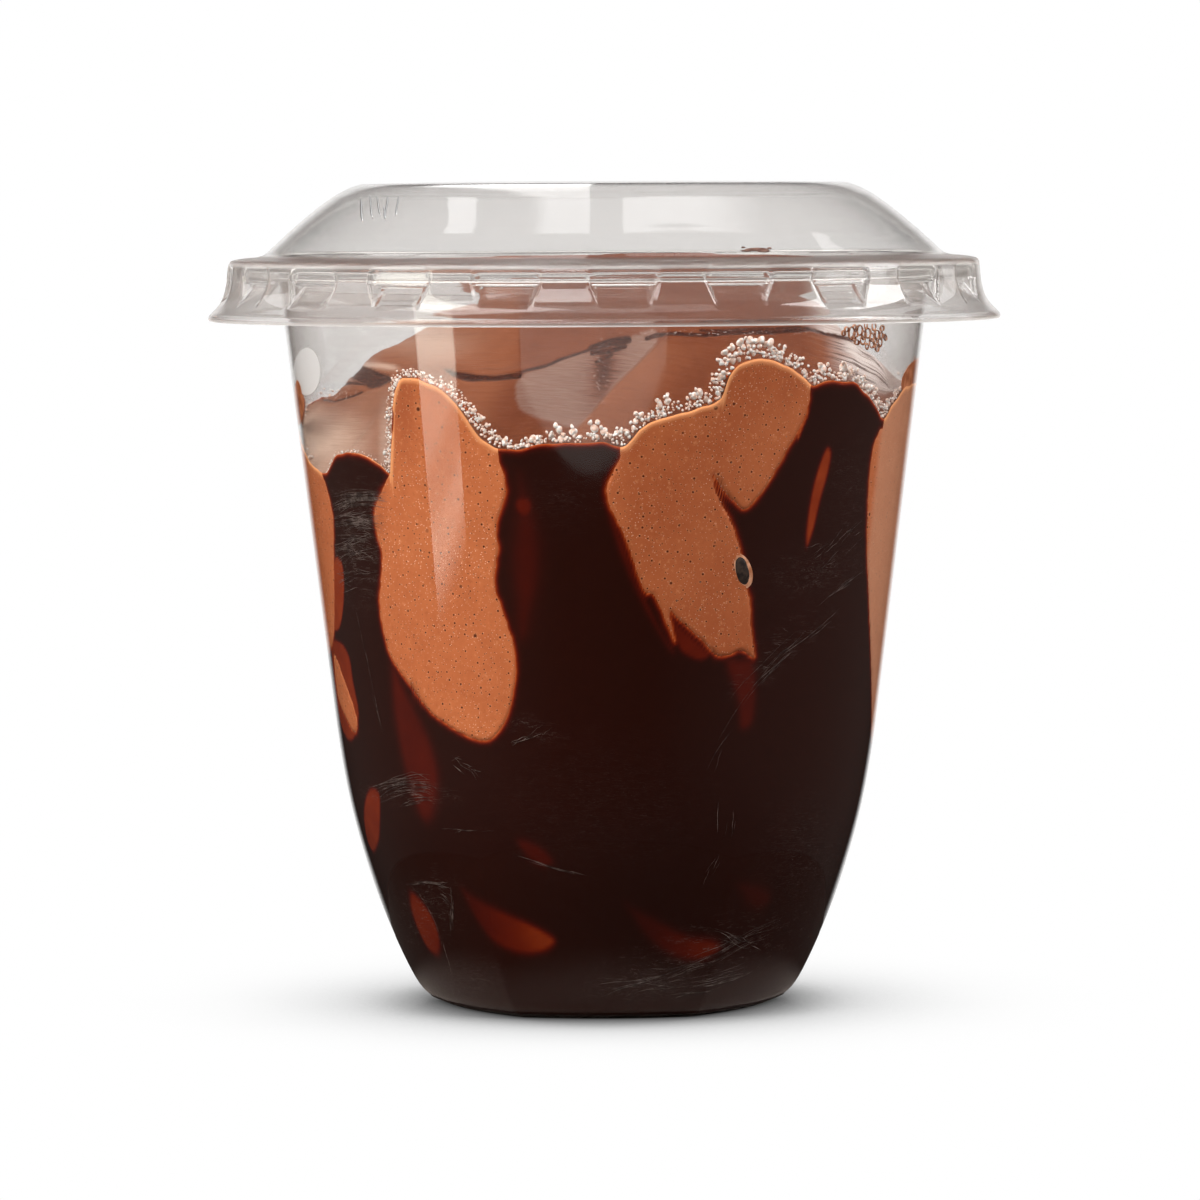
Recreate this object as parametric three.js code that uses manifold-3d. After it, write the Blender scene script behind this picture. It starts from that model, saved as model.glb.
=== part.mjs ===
// Clear plastic dessert tub: a tulip cup with a wide rolled rim and a push-fit dome lid,
// filled with chocolate ice cream and a dark chocolate sauce that runs down the wall.
// Millimetres, +Z up. The origin is the centre of the base, on the surface the tub stands on.
// -Y is the front of the tub. Angles about the axis are in degrees, 0 at the front, + towards +X.

import * as THREE from 'three';
import { mergeVertices } from 'three/addons/utils/BufferGeometryUtils.js';
import Module from 'manifold-3d';

// ---------------------------------------------------------------- driving dimensions
const WALL = 0.5;                 // cup wall
const LID_WALL = 0.4;             // lid sheet
const GAP = 0.3;                  // room between neighbouring pieces
const FLOOR_T = 0.6;              // cup floor

// cup: straight taper above CURVE_TOP, curving in below it
const TAPER_R = 35.16;            // outer radius at TAPER_Z
const TAPER_Z = 39.9;
const TAPER = 0.1236;             // radius gained for each mm of height
const CURVE_TOP = 38.3;
const CURVE_K = 0.001244;
const CURVE_N = 2.37;
const HEEL_R = 2.0;               // how far the heel is rounded off
const HEEL_H = 0.9;
const FACET_DEPTH = 0.42;         // six soft facets at the foot: 1 would be a full hexagon
const FACET_TOP = 27;             // where they have faded out

// cup rim
const RIM_R = 47.3;
const RIM_TOP = 95.0;
const RIM_T = 0.6;                // flange thickness
const RIM_CURL = 1.8;             // height of the rolled edge
const RIM_CURL_IN = 46.0;

// lid
const DOME_TOP = 105.6;
const SHOULDER_Z = 95.72;
const SKIRT_R = 48.4;
const FLARE_R = 50.8;
const FLARE_Z = 88.0;
const LUGS = 21;
const LUG_PHASE = 2.8;            // the lug nearest the front is this far right of it
const LUG_HALF = 6.5;             // half width of a lug's mouth
const LUG_FLOOR = 4.4;            // half width of its floor
const LUG_DEEP = 1.6;
const LUG_TOP = 95.0;
const LUG_LEDGE = 93.15;
const LUG_LOW = 90.3;

// contents
const CORE_LOW = 8.0;             // lowest point of the ice cream, above the sauce at the bottom
const SAUCE_T = 4.6;              // sauce between the ice cream and the wall
const SAUCE_EDGE = 2.6;           // width over which it thins out beside a bare patch
const PEAK = [8, 5, 94.0];        // crest of the ice cream
const MM_PER_DEG = 0.64;          // along the wall

const N_CUP = 48;
const FOOD_FRONT = 36;            // food columns in the front 200 degrees
const FOOD_BACK = 12;             // and in the back 160 degrees

// ---------------------------------------------------------------- helpers
const rad = (d) => d * Math.PI / 180;
const clamp = (v, a, b) => Math.min(b, Math.max(a, v));
const smooth = (a, b, v) => { const t = clamp((v - a) / (b - a), 0, 1); return t * t * (3 - 2 * t); };

// value at v on a smooth curve through [position, value] pairs that wraps at 360 degrees or not
function through(pairs, v, wrap) {
  const n = pairs.length;
  const at = (i) => {
    if (!wrap) return pairs[clamp(i, 0, n - 1)];
    const k = ((i % n) + n) % n, turns = Math.floor(i / n);
    return [pairs[k][0] + 360 * turns, pairs[k][1]];
  };
  if (wrap) while (v < pairs[0][0]) v += 360;
  let i = 0;
  while (i < n - (wrap ? 0 : 2) && at(i + 1)[0] <= v) i++;
  const a = at(i), b = at(i + 1);
  const t = clamp((v - a[0]) / (b[0] - a[0] || 1), 0, 1);
  const m0 = (b[1] - at(i - 1)[1]) / (b[0] - at(i - 1)[0] || 1) * (b[0] - a[0]);
  const m1 = (at(i + 2)[1] - a[1]) / (at(i + 2)[0] - a[0] || 1) * (b[0] - a[0]);
  const lo = Math.min(a[1], b[1]) - 0.15 * Math.abs(b[1] - a[1]), hi = Math.max(a[1], b[1]) + 0.15 * Math.abs(b[1] - a[1]);
  const t2 = t * t, t3 = t2 * t;
  return clamp((2 * t3 - 3 * t2 + 1) * a[1] + (t3 - 2 * t2 + t) * m0 + (3 * t2 - 2 * t3) * b[1] + (t3 - t2) * m1, lo, hi);
}

// signed distance in mm from a point of the wall to a closed outline of [degrees, height], + inside
function insideBy(outline, deg, z) {
  let best = 1e9, inside = false;
  const n = outline.length, x = deg * MM_PER_DEG;
  for (let i = 0, j = n - 1; i < n; j = i++) {
    const ax = outline[j][0] * MM_PER_DEG, az = outline[j][1], bx = outline[i][0] * MM_PER_DEG, bz = outline[i][1];
    const dx = bx - ax, dz = bz - az;
    const t = clamp(((x - ax) * dx + (z - az) * dz) / (dx * dx + dz * dz), 0, 1);
    best = Math.min(best, Math.hypot(x - ax - dx * t, z - az - dz * t));
    if ((az > z) !== (bz > z) && x < (bx - ax) * (z - az) / (bz - az) + ax) inside = !inside;
  }
  return inside ? best : -best;
}

// closed body of revolution from a lathe; place(theta in degrees, r, z, row) moves each vertex to [degrees, r, z]
function turned(profile, columns, place) {
  const g = new THREE.LatheGeometry(profile.map((p) => new THREE.Vector2(p[0], p[1])), columns.length);
  const pos = g.attributes.position, rows = profile.length;
  for (let c = 0; c <= columns.length; c++) {
    for (let r = 0; r < rows; r++) {
      const [deg, rr, z] = place(columns[c % columns.length], profile[r][0], profile[r][1], r);
      const onAxis = profile[r][0] === 0;
      pos.setXYZ(c * rows + r, onAxis ? 0 : rr * Math.sin(rad(deg)), onAxis ? 0 : -rr * Math.cos(rad(deg)), z);
    }
  }
  return weld(g);
}

// shared vertices merged, flat triangles at the poles dropped, faces turned outward
function weld(g) {
  g.deleteAttribute('normal');
  g.deleteAttribute('uv');
  g = mergeVertices(g, 1e-5);
  const p = g.attributes.position, idx = g.index.array, keep = [];
  for (let i = 0; i < idx.length; i += 3) {
    const [a, b, c] = [idx[i], idx[i + 1], idx[i + 2]];
    if (a !== b && b !== c && c !== a) keep.push(a, b, c);
  }
  let vol = 0;
  const A = new THREE.Vector3(), B = new THREE.Vector3(), C = new THREE.Vector3();
  for (let i = 0; i < keep.length; i += 3) {
    A.fromBufferAttribute(p, keep[i]); B.fromBufferAttribute(p, keep[i + 1]); C.fromBufferAttribute(p, keep[i + 2]);
    vol += A.dot(B.cross(C));
  }
  if (vol < 0) for (let i = 0; i < keep.length; i += 3) [keep[i + 1], keep[i + 2]] = [keep[i + 2], keep[i + 1]];
  g.setIndex(keep);
  return g;
}

const ring = (n) => Array.from({ length: n }, (_, i) => i * 360 / n);

// ---------------------------------------------------------------- cup shape
// how far a point is drawn in towards a hexagon with a flat side to the front
function facet(deg, z) {
  const local = ((deg + 30) % 60 + 60) % 60 - 30;
  const hex = Math.cos(rad(30)) / Math.cos(rad(local));
  return 1 - FACET_DEPTH * (1 - smooth(2, FACET_TOP, z)) * (1 - hex);
}
function taper(z) {
  return TAPER_R + TAPER * (z - TAPER_Z) - CURVE_K * Math.pow(Math.max(0, CURVE_TOP - z), CURVE_N)
    - HEEL_R * Math.exp(-z / HEEL_H);
}
const wallOut = (deg, z) => taper(z) * facet(deg, z);
const wallIn = (deg, z) => (taper(z) + 0.6 * HEEL_R * Math.exp(-z / HEEL_H) * (z < 2 ? 1 : 0) - WALL) * facet(deg, z);

const cupOuterZ = [0, 0.6, 2, 5, 9, 14, 20, 28, 38.3, 92.2];
const cupInnerZ = [93, 38.3, 28, 20, 14, 9, 5, 2.2, FLOOR_T];
const cupRim = [
  [42.8, RIM_TOP - RIM_T], [RIM_CURL_IN, RIM_TOP - RIM_T], [RIM_CURL_IN + 0.1, RIM_TOP - RIM_CURL], [RIM_R, RIM_TOP - RIM_CURL + 0.2],
  [RIM_R, RIM_TOP - 0.3], [RIM_R - 0.4, RIM_TOP], [42.3, RIM_TOP],
];
const cupProfile = [
  [0, 0],
  ...cupOuterZ.map((z) => [taper(z), z]),
  ...cupRim,
  ...cupInnerZ.map((z) => [taper(z) - WALL, z]),
  [0, FLOOR_T],
];
const firstInner = 1 + cupOuterZ.length + cupRim.length;
const cupGeometry = turned(cupProfile, ring(N_CUP), (deg, r, z, row) => {
  if (row >= 1 && row <= cupOuterZ.length) return [deg, wallOut(deg, z), z];
  if (row >= firstInner && row < cupProfile.length - 1) return [deg, wallIn(deg, Math.max(z, 1.0)), z];
  return [deg, r, z];
});

// ---------------------------------------------------------------- lid shape
const lidOuter = [
  [0, DOME_TOP], [30.0, DOME_TOP - 0.15], [33.0, 104.7], [37.6, 101.65], [43.1, 96.8], [45.0, SHOULDER_Z + 0.06],
  [47.4, SHOULDER_Z - 0.07], [SKIRT_R - 0.1, LUG_TOP], [SKIRT_R, LUG_LEDGE], [SKIRT_R + 0.03, LUG_LEDGE - 0.25], [49.0, LUG_LOW + 0.6],
  [49.95, 89.35], [FLARE_R, 88.3],
];
const lidInner = [
  [FLARE_R - 0.1, FLARE_Z - 0.1], [50.25, FLARE_Z - 0.05], [49.5, 89.15], [48.6, LUG_LOW + 0.6],
  [SKIRT_R + 0.03 - LID_WALL, LUG_LEDGE - 0.4], [SKIRT_R - LID_WALL, LUG_LEDGE - 0.2], [SKIRT_R - 0.1 - LID_WALL, LUG_TOP - 0.05],
  [47.3, SHOULDER_Z - 0.45], [44.8, SHOULDER_Z - 0.36], [42.8, 96.5], [37.35, 101.3], [32.8, 104.3], [0, DOME_TOP - LID_WALL],
];
const lidProfile = [...lidOuter, ...lidInner];
// depth of the lug pocket by height: a shallow slope above the ledge, a deep step, then tapering out downward
const lugDepth = (z) => z >= LUG_LEDGE - 0.05 ? 0.35 * clamp((LUG_TOP - z) / (LUG_TOP - LUG_LEDGE), 0, 1)
  : LUG_DEEP * clamp((z - LUG_LOW) / (LUG_LEDGE - 0.25 - LUG_LOW), 0, 1);
const lugColumns = [];
for (let i = 0; i < LUGS; i++) {
  for (const d of [-LUG_HALF, -LUG_FLOOR, LUG_FLOOR, LUG_HALF]) lugColumns.push(LUG_PHASE + i * 360 / LUGS + d);
}
const lidGeometry = turned(lidProfile, lugColumns, (deg, r, z, row) => {
  const pitch = 360 / LUGS;
  const local = ((deg - LUG_PHASE + pitch / 2) % pitch + pitch) % pitch - pitch / 2;
  const inLug = Math.abs(local) < LUG_FLOOR + 0.1;
  const outerSkirt = row >= 7 && row <= 10, innerSkirt = row >= lidOuter.length + 3 && row <= lidOuter.length + 6;
  if (inLug && (outerSkirt || innerSkirt)) {
    const d = row === lidOuter.length + 5 ? 0.35 : lugDepth(innerSkirt ? z + 0.15 : z);
    return [deg, r - d, z];
  }
  return [deg, r, z];
});

// ---------------------------------------------------------------- contents
// line where the contents meet the wall, [degrees, height], once round the tub
const CONTACT = [
  [-180, 84], [-158, 81.5], [-138, 83], [-118, 78], [-102, 75], [-90, 73], [-72, 69.3], [-66, 68.9], [-60.5, 71.2], [-55, 71.8],
  [-50.5, 71.4], [-44.5, 69.6], [-42.5, 75], [-40.5, 80.5], [-37.5, 81.4], [-34, 80.8], [-31, 80], [-28, 78.3], [-22.4, 73.7],
  [-19.5, 72.6], [-15.5, 72.7], [-11, 73.3], [-5, 73.5], [3, 73], [6.3, 75], [11, 76.6], [17.3, 77.6], [21, 78.6], [22.8, 81],
  [25, 82.1], [28.7, 82.6], [34, 81.9], [39.5, 80.2], [45, 80.1], [50, 79.9], [54.7, 78.7], [60, 76.9], [63.5, 75.6],
  [66.5, 77.2], [74.6, 79.5], [90, 81.5], [108, 84], [126, 81], [146, 84.5], [164, 86],
];
// outlines on the wall where ice cream shows through the sauce
const PATCHES = {
  front_left: [
    [-39.7, 90], [-42.2, 79], [-43.2, 72.3], [-44.3, 68.8], [-47.5, 66.6], [-49.8, 63], [-48.7, 59], [-50.6, 54], [-50.8, 50],
    [-49.5, 47], [-45, 43.3], [-39, 39.5], [-31.6, 36.9], [-27.4, 36.1], [-22.6, 37.6], [-19.6, 41], [-18.4, 45.5], [-19.7, 50.7],
    [-22, 55.5], [-21, 60], [-20.7, 63], [-18.8, 66.9], [-18.9, 69.2], [-20.2, 72], [-20, 90],
  ],
  front_right: [
    [3.2, 90], [3, 72.5], [1.2, 69.6], [0.3, 67.8], [1.1, 65], [4.3, 60.8], [7.6, 54.9], [11.5, 49.9], [16, 48], [22.3, 47.2],
    [30.5, 46.6], [30.2, 49], [28.3, 53.6], [28.4, 56], [26.1, 60.5], [22.4, 65.5], [20.1, 69.5], [23, 67.4], [26.6, 65.1],
    [30.3, 66.9], [35.5, 72.2], [39.8, 77.2], [40.8, 80], [41, 90],
  ],
  right: [
    [63.8, 90], [63.8, 75.6], [60.6, 72.3], [59.9, 69], [60.5, 65], [64.3, 55], [69.3, 47.3], [75.9, 39.3], [82.2, 33.9],
    [92, 36], [103, 45], [107, 60], [101, 74], [103, 90],
  ],
  left: [
    [-69, 90], [-69.3, 69.5], [-67.4, 66.7], [-67.2, 63], [-70.7, 58.8], [-70, 52], [-66, 46], [-64.3, 40], [-67, 35.2],
    [-77, 35.8], [-93, 43], [-99, 56], [-95, 71], [-98, 90],
  ],
  back_left: [
    [-122, 90], [-124, 74], [-119, 60], [-125, 46], [-136, 38], [-146, 44], [-149, 58], [-144, 70], [-150, 90],
  ],
  back: [
    [178, 90], [176, 76], [170, 62], [172, 50], [163, 41], [152, 43], [146, 54], [150, 66], [143, 78], [141, 90],
  ],
};
const bare = (deg, z) => Math.max(...Object.values(PATCHES).map((o) => insideBy(o, deg, z)));

const contact = (deg) => through(CONTACT, deg, true);
const foodOut = (deg, z) => wallIn(deg, z) - GAP;

// top surface of the ice cream: a crest that falls away to the contact line, with broad spatula strokes
function topHeight(deg, r, edgeR, edgeZ) {
  const x = r * Math.sin(rad(deg)), y = -r * Math.cos(rad(deg));
  const dx = x - PEAK[0], dy = y - PEAK[1];
  let m = PEAK[2] - (dx < 0 ? 0.0078 : 0.0175) * dx * dx - (dy < 0 ? 0.0098 : 0.005) * dy * dy;
  m += 0.9 * Math.sin(0.19 * x + 0.33 * y + 0.8) * smooth(0, 18, edgeR - r) + 0.6 * Math.sin(0.34 * x - 0.12 * y) * smooth(0, 14, edgeR - r);
  const s = smooth(0, 13, edgeR - r);
  return Math.min(edgeZ + (m - edgeZ) * s, PEAK[2]);
}

const foodColumns = [];
for (let i = 0; i < FOOD_FRONT; i++) foodColumns.push(-100 + 200 * i / FOOD_FRONT);
for (let i = 0; i < FOOD_BACK; i++) foodColumns.push(100 + 160 * i / FOOD_BACK);

const SIDE = [0.03, 0.12, 0.25, 0.37, 0.47, 0.56, 0.65, 0.74, 0.83, 0.92, 1];
const TOP = [0.9, 0.75, 0.52, 0.26];
const foodProfile = [
  [0, CORE_LOW], [12, CORE_LOW + 0.5], [20, CORE_LOW + 1.5],
  ...SIDE.map((t) => [30, t]), ...TOP.map((t) => [t * 30, 90]), [0, 92],
];
function coreRadius(deg, z) {
  const lim = 1 - smooth(CORE_LOW + 14, CORE_LOW + 1, z) * 0.25;
  return foodOut(deg, z) - SAUCE_T * smooth(0.2, SAUCE_EDGE, -bare(deg, z)) * lim - 2.2 * smooth(26, 12, z);
}
// the ice cream, grown by `grow` on its sides and bottom, and by `lift` on its top
function core(grow, lift) {
  return turned(foodProfile, foodColumns, (deg0, r, z, row) => {
    const deg = deg0 > 180 ? deg0 - 360 : deg0;
    const edgeZ = contact(deg), lowZ = CORE_LOW + 3;
    const edgeR = coreRadius(deg, edgeZ) ;
    if (row === 0) return [deg, 0, CORE_LOW - grow];
    if (row < 3) return [deg, (row === 1 ? 0.5 : 0.84) * (coreRadius(deg, lowZ) + grow), z - grow];
    if (row < 3 + SIDE.length) {
      const zz = lowZ + (edgeZ - lowZ) * SIDE[row - 3];
      return [deg, coreRadius(deg, zz) + grow, zz];
    }
    const t = row === foodProfile.length - 1 ? 0 : TOP[row - 3 - SIDE.length];
    if (lift > 0 && t === TOP[0]) return [deg, edgeR + grow, edgeZ + lift];
    return [deg, t * edgeR, topHeight(deg, t * edgeR, edgeR, edgeZ) + lift];
  });
}
// everything inside the wall up to the contact line
const FILL_Z = [0, 0.045, 0.11, 0.2, 0.32, 0.46, 0.62, 0.8, 1];
function fill() {
  const low = FLOOR_T + GAP;
  const profile = [[0, low], [16, low], ...FILL_Z.map((t) => [30, t]), [28, 60], [0, 60]];
  return turned(profile, foodColumns, (deg0, r, z, row) => {
    const deg = deg0 > 180 ? deg0 - 360 : deg0;
    const top = contact(deg);
    if (row === 0) return [deg, 0, low];
    if (row === 1) return [deg, 0.75 * foodOut(deg, 1.2), low];
    if (row < 2 + FILL_Z.length) {
      const zz = low + (top - low) * FILL_Z[row - 2];
      return [deg, foodOut(deg, Math.max(zz, 1.2)) - (row === 2 ? 0.5 : 0), zz];
    }
    if (row === 2 + FILL_Z.length) return [deg, foodOut(deg, top) - SAUCE_T - 2.5, top];
    return [deg, 0, 60];
  });
}

const wasm = await Module();
wasm.setup();
const solidOf = (g) => new wasm.Manifold(new wasm.Mesh({
  numProp: 3,
  vertProperties: new Float32Array(g.attributes.position.array),
  triVerts: new Uint32Array(g.index.array),
}));
function geometryOf(solid) {
  const mesh = solid.getMesh();
  const n = mesh.vertProperties.length / mesh.numProp, pos = new Float32Array(n * 3);
  for (let i = 0; i < n; i++) for (let k = 0; k < 3; k++) pos[i * 3 + k] = mesh.vertProperties[i * mesh.numProp + k];
  const g = new THREE.BufferGeometry();
  g.setAttribute('position', new THREE.BufferAttribute(pos, 3));
  g.setIndex(new THREE.BufferAttribute(new Uint32Array(mesh.triVerts), 1));
  return g;
}

const iceGeometry = core(0, 0);
let sauceSolid = solidOf(fill()).subtract(solidOf(core(GAP, 12)));
sauceSolid = sauceSolid.decompose().sort((a, b) => b.volume() - a.volume())[0];
const sauceGeometry = geometryOf(sauceSolid);

// ---------------------------------------------------------------- the tub
const clear = { color: 0xeef0f0, roughness: 0.06, metalness: 0, transparent: true, opacity: 0.25 };
const group = new THREE.Group();
function add(name, geometry, material) {
  const mesh = new THREE.Mesh(geometry, material);
  mesh.name = name;
  group.add(mesh);
}
add('cup', cupGeometry, new THREE.MeshStandardMaterial(clear));
add('lid', lidGeometry, new THREE.MeshStandardMaterial({ ...clear, color: 0xe6e8e8 }));
add('ice_cream', iceGeometry, new THREE.MeshStandardMaterial({ color: 0xa8674a, roughness: 0.6, metalness: 0 }));
add('sauce', sauceGeometry, new THREE.MeshStandardMaterial({ color: 0x23120e, roughness: 0.2, metalness: 0 }));

export default group;
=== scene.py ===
import math

import bpy
import numpy as np
from mathutils import Matrix, Vector


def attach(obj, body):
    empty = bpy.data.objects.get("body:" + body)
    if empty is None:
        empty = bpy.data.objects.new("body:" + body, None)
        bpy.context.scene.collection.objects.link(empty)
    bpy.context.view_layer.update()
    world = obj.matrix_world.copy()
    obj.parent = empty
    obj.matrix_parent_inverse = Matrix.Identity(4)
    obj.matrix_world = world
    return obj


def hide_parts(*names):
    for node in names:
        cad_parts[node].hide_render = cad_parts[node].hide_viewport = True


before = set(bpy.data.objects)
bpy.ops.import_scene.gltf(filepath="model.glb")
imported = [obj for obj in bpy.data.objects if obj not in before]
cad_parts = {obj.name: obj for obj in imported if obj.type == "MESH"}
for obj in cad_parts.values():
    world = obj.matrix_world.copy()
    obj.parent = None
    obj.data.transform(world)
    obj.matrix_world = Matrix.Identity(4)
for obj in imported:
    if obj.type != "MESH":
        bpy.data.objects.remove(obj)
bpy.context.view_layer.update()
MM = 0.001
rng = np.random.default_rng(11)

# ------------------------------------------------------------------ camera
# the viewpoint, in millimetres and in a frame of 1200 x 1200
DIST, EYE, FOCAL, CAM_X = 875.0, 104.5, 6808.0, -0.72
PITCH, ROLL = math.radians(3.45), math.radians(0.28)
CAM = np.array([CAM_X, -DIST, EYE])
AHEAD = np.array([0.0, math.cos(PITCH), -math.sin(PITCH)])
_r0, _u0 = np.array([1.0, 0, 0]), np.array([0, math.sin(PITCH), math.cos(PITCH)])
RIGHT = _r0 * math.cos(ROLL) - _u0 * math.sin(ROLL)
UP = _r0 * math.sin(ROLL) + _u0 * math.cos(ROLL)

cam_data = bpy.data.cameras.new("camera")
cam_data.sensor_width = 36
cam_data.sensor_fit = "HORIZONTAL"
cam_data.lens = 36 * FOCAL / 1200
cam_data.clip_start, cam_data.clip_end = 0.05, 20
cam = bpy.data.objects.new("camera", cam_data)
cam.matrix_world = Matrix((
    (RIGHT[0], UP[0], -AHEAD[0], CAM[0] * MM),
    (RIGHT[1], UP[1], -AHEAD[1], CAM[1] * MM),
    (RIGHT[2], UP[2], -AHEAD[2], CAM[2] * MM),
    (0, 0, 0, 1),
))
bpy.context.scene.collection.objects.link(cam)
bpy.context.scene.camera = cam


def project(p):
    """Where points (..., 3) in mm fall in the frame, for laying out what is on the contents."""
    d = np.asarray(p, float) - CAM
    depth = d @ AHEAD
    return np.stack([600 + FOCAL * (d @ RIGHT) / depth, 600 - FOCAL * (d @ UP) / depth], -1)


# ------------------------------------------------------------------ shape of the packaging (mm and degrees, as in the CAD)
def smooth(a, b, v):
    t = np.clip((np.asarray(v, float) - a) / (b - a), 0, 1)
    return t * t * (3 - 2 * t)


def taper(z):
    z = np.asarray(z, float)
    return (35.16 + 0.1236 * (z - 39.9) - 0.001244 * np.maximum(0.0, 38.3 - z) ** 2.37
            - 2.0 * np.exp(-z / 0.9))


def facet(deg, z):
    local = np.mod(np.asarray(deg, float) + 30, 60) - 30
    hexa = math.cos(math.radians(30)) / np.cos(np.radians(local))
    return 1 - 0.42 * (1 - smooth(2, 27, z)) * (1 - hexa)


def wall_out(deg, z):
    return taper(z) * facet(deg, z)


def wall_in(deg, z):
    return (taper(z) + 1.2 * np.exp(-np.asarray(z, float) / 0.9) * (np.asarray(z) < 2) - 0.5) * facet(deg, z)


def polar(deg, r, z):
    a = np.radians(deg)
    return np.stack(np.broadcast_arrays(r * np.sin(a), -r * np.cos(a), z), -1)


def on_wall(points):
    """Points of the frame carried onto the inside of the cup's wall: (n, 2) of degrees and height."""
    out = []
    for x, y in points:
        d = AHEAD + RIGHT * (x - 600) / FOCAL - UP * (y - 600) / FOCAL
        d = d / np.linalg.norm(d)
        z = 60.0
        for _ in range(30):
            r = float(taper(z)) - 0.5
            a = d[0] ** 2 + d[1] ** 2
            b = CAM[0] * d[0] + CAM[1] * d[1]
            c = CAM[0] ** 2 + CAM[1] ** 2 - r * r
            t = (-b - math.sqrt(max(0.0, b * b - a * c))) / a
            p = CAM + d * t
            z = p[2]
        out.append((math.degrees(math.atan2(p[0], -p[1])), z))
    return np.array(out)


# ------------------------------------------------------------------ mesh tools
def make_piece(name, verts, quads, tris=None, attrs=None, uvs=None, mats=(), mat_index=None, smooth_faces=True,
               replaces=()):
    """A mesh object from arrays in mm. attrs are floats by vertex, uvs are pairs by vertex."""
    me = bpy.data.meshes.new(name)
    quads = np.asarray(quads, np.int32).reshape(-1, 4)
    tris = np.zeros((0, 3), np.int32) if tris is None else np.asarray(tris, np.int32).reshape(-1, 3)
    nv, nq, nt = len(verts), len(quads), len(tris)
    me.vertices.add(nv)
    me.vertices.foreach_set("co", (np.asarray(verts, np.float32) * MM).ravel())
    loops = np.concatenate([quads.ravel(), tris.ravel()])
    me.loops.add(len(loops))
    me.loops.foreach_set("vertex_index", loops)
    me.polygons.add(nq + nt)
    start = np.concatenate([np.arange(nq) * 4, nq * 4 + np.arange(nt) * 3]).astype(np.int32)
    me.polygons.foreach_set("loop_start", start)
    if mat_index is not None:
        me.polygons.foreach_set("material_index", np.asarray(mat_index, np.int32))
    me.polygons.foreach_set("use_smooth", np.full(nq + nt, smooth_faces))
    for key, values in (attrs or {}).items():
        at = me.attributes.new(key, "FLOAT", "POINT")
        at.data.foreach_set("value", np.asarray(values, np.float32).ravel())
    for key, values in (uvs or {}).items():
        layer = me.uv_layers.new(name=key)
        layer.data.foreach_set("uv", np.asarray(values, np.float32)[loops].ravel())
    me.update()
    me.validate()
    ob = bpy.data.objects.new(name, me)
    bpy.context.scene.collection.objects.link(ob)
    for m in mats:
        me.materials.append(m)
    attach(ob, "root")
    if replaces:
        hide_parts(*replaces)
    return ob


def ring_quads(rows, cols, first=0, flip=False):
    """Quads of a grid of rows x cols vertices that closes round the columns."""
    r = np.arange(rows - 1)[:, None] * cols
    c = np.arange(cols)[None, :]
    n = (c + 1) % cols
    q = np.stack([r + c, r + n, r + cols + n, r + cols + c], -1).reshape(-1, 4) + first
    return q[:, ::-1] if flip else q


def cap_tris(row_first, cols, centre, flip=False):
    c = np.arange(cols)
    t = np.stack([row_first + c, row_first + (c + 1) % cols, np.full(cols, centre)], -1)
    return t[:, ::-1] if flip else t


def rounded(points, steps=4):
    """A polyline of (r, z, fillet radius), with each corner turned into a short arc."""
    out = []
    n = len(points)
    for i, (r, z, f) in enumerate(points):
        p = np.array([r, z], float)
        if f <= 0 or i in (0, n - 1):
            out.append(p)
            continue
        a = np.array(points[i - 1][:2], float) - p
        b = np.array(points[i + 1][:2], float) - p
        la, lb = np.linalg.norm(a), np.linalg.norm(b)
        f = min(f, 0.49 * la, 0.49 * lb)
        pa, pb = p + a / la * f, p + b / lb * f
        for k in range(steps + 1):
            t = k / steps
            out.append((1 - t) ** 2 * pa + 2 * t * (1 - t) * p + t * t * pb)
    return np.array(out)


def spline(points, step):
    """Catmull-Rom through (n, 2) points, resampled about every `step`."""
    p = np.asarray(points, float)
    ext = np.vstack([2 * p[0] - p[1], p, 2 * p[-1] - p[-2]])
    out = []
    for i in range(1, len(ext) - 2):
        a, b, c, d = ext[i - 1], ext[i], ext[i + 1], ext[i + 2]
        n = max(1, int(round(np.linalg.norm(c - b) / step)))
        for k in range(n):
            t = k / n
            out.append(0.5 * (2 * b + (c - a) * t + (2 * a - 5 * b + 4 * c - d) * t * t + (3 * b - a - 3 * c + d) * t ** 3))
    out.append(p[-1])
    return np.array(out)


def loop_spline(points, parts=4):
    """Closed Catmull-Rom through (n, 2) points."""
    p = np.asarray(points, float)
    a, b, c, d = np.roll(p, 1, 0), p, np.roll(p, -1, 0), np.roll(p, -2, 0)
    out = []
    for k in range(parts):
        t = k / parts
        out.append(0.5 * (2 * b + (c - a) * t + (2 * a - 5 * b + 4 * c - d) * t * t + (3 * b - a - 3 * c + d) * t ** 3))
    return np.stack(out, 1).reshape(-1, 2)


def segments_distance(x, y, ax, ay, bx, by):
    """Distance from each (x, y) to the nearest of the segments, and where along them it is."""
    best = np.full(x.shape, 1e9)
    for i in range(len(ax)):
        dx, dy = bx[i] - ax[i], by[i] - ay[i]
        t = np.clip(((x - ax[i]) * dx + (y - ay[i]) * dy) / (dx * dx + dy * dy + 1e-12), 0, 1)
        best = np.minimum(best, np.hypot(x - ax[i] - dx * t, y - ay[i] - dy * t))
    return best


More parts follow.
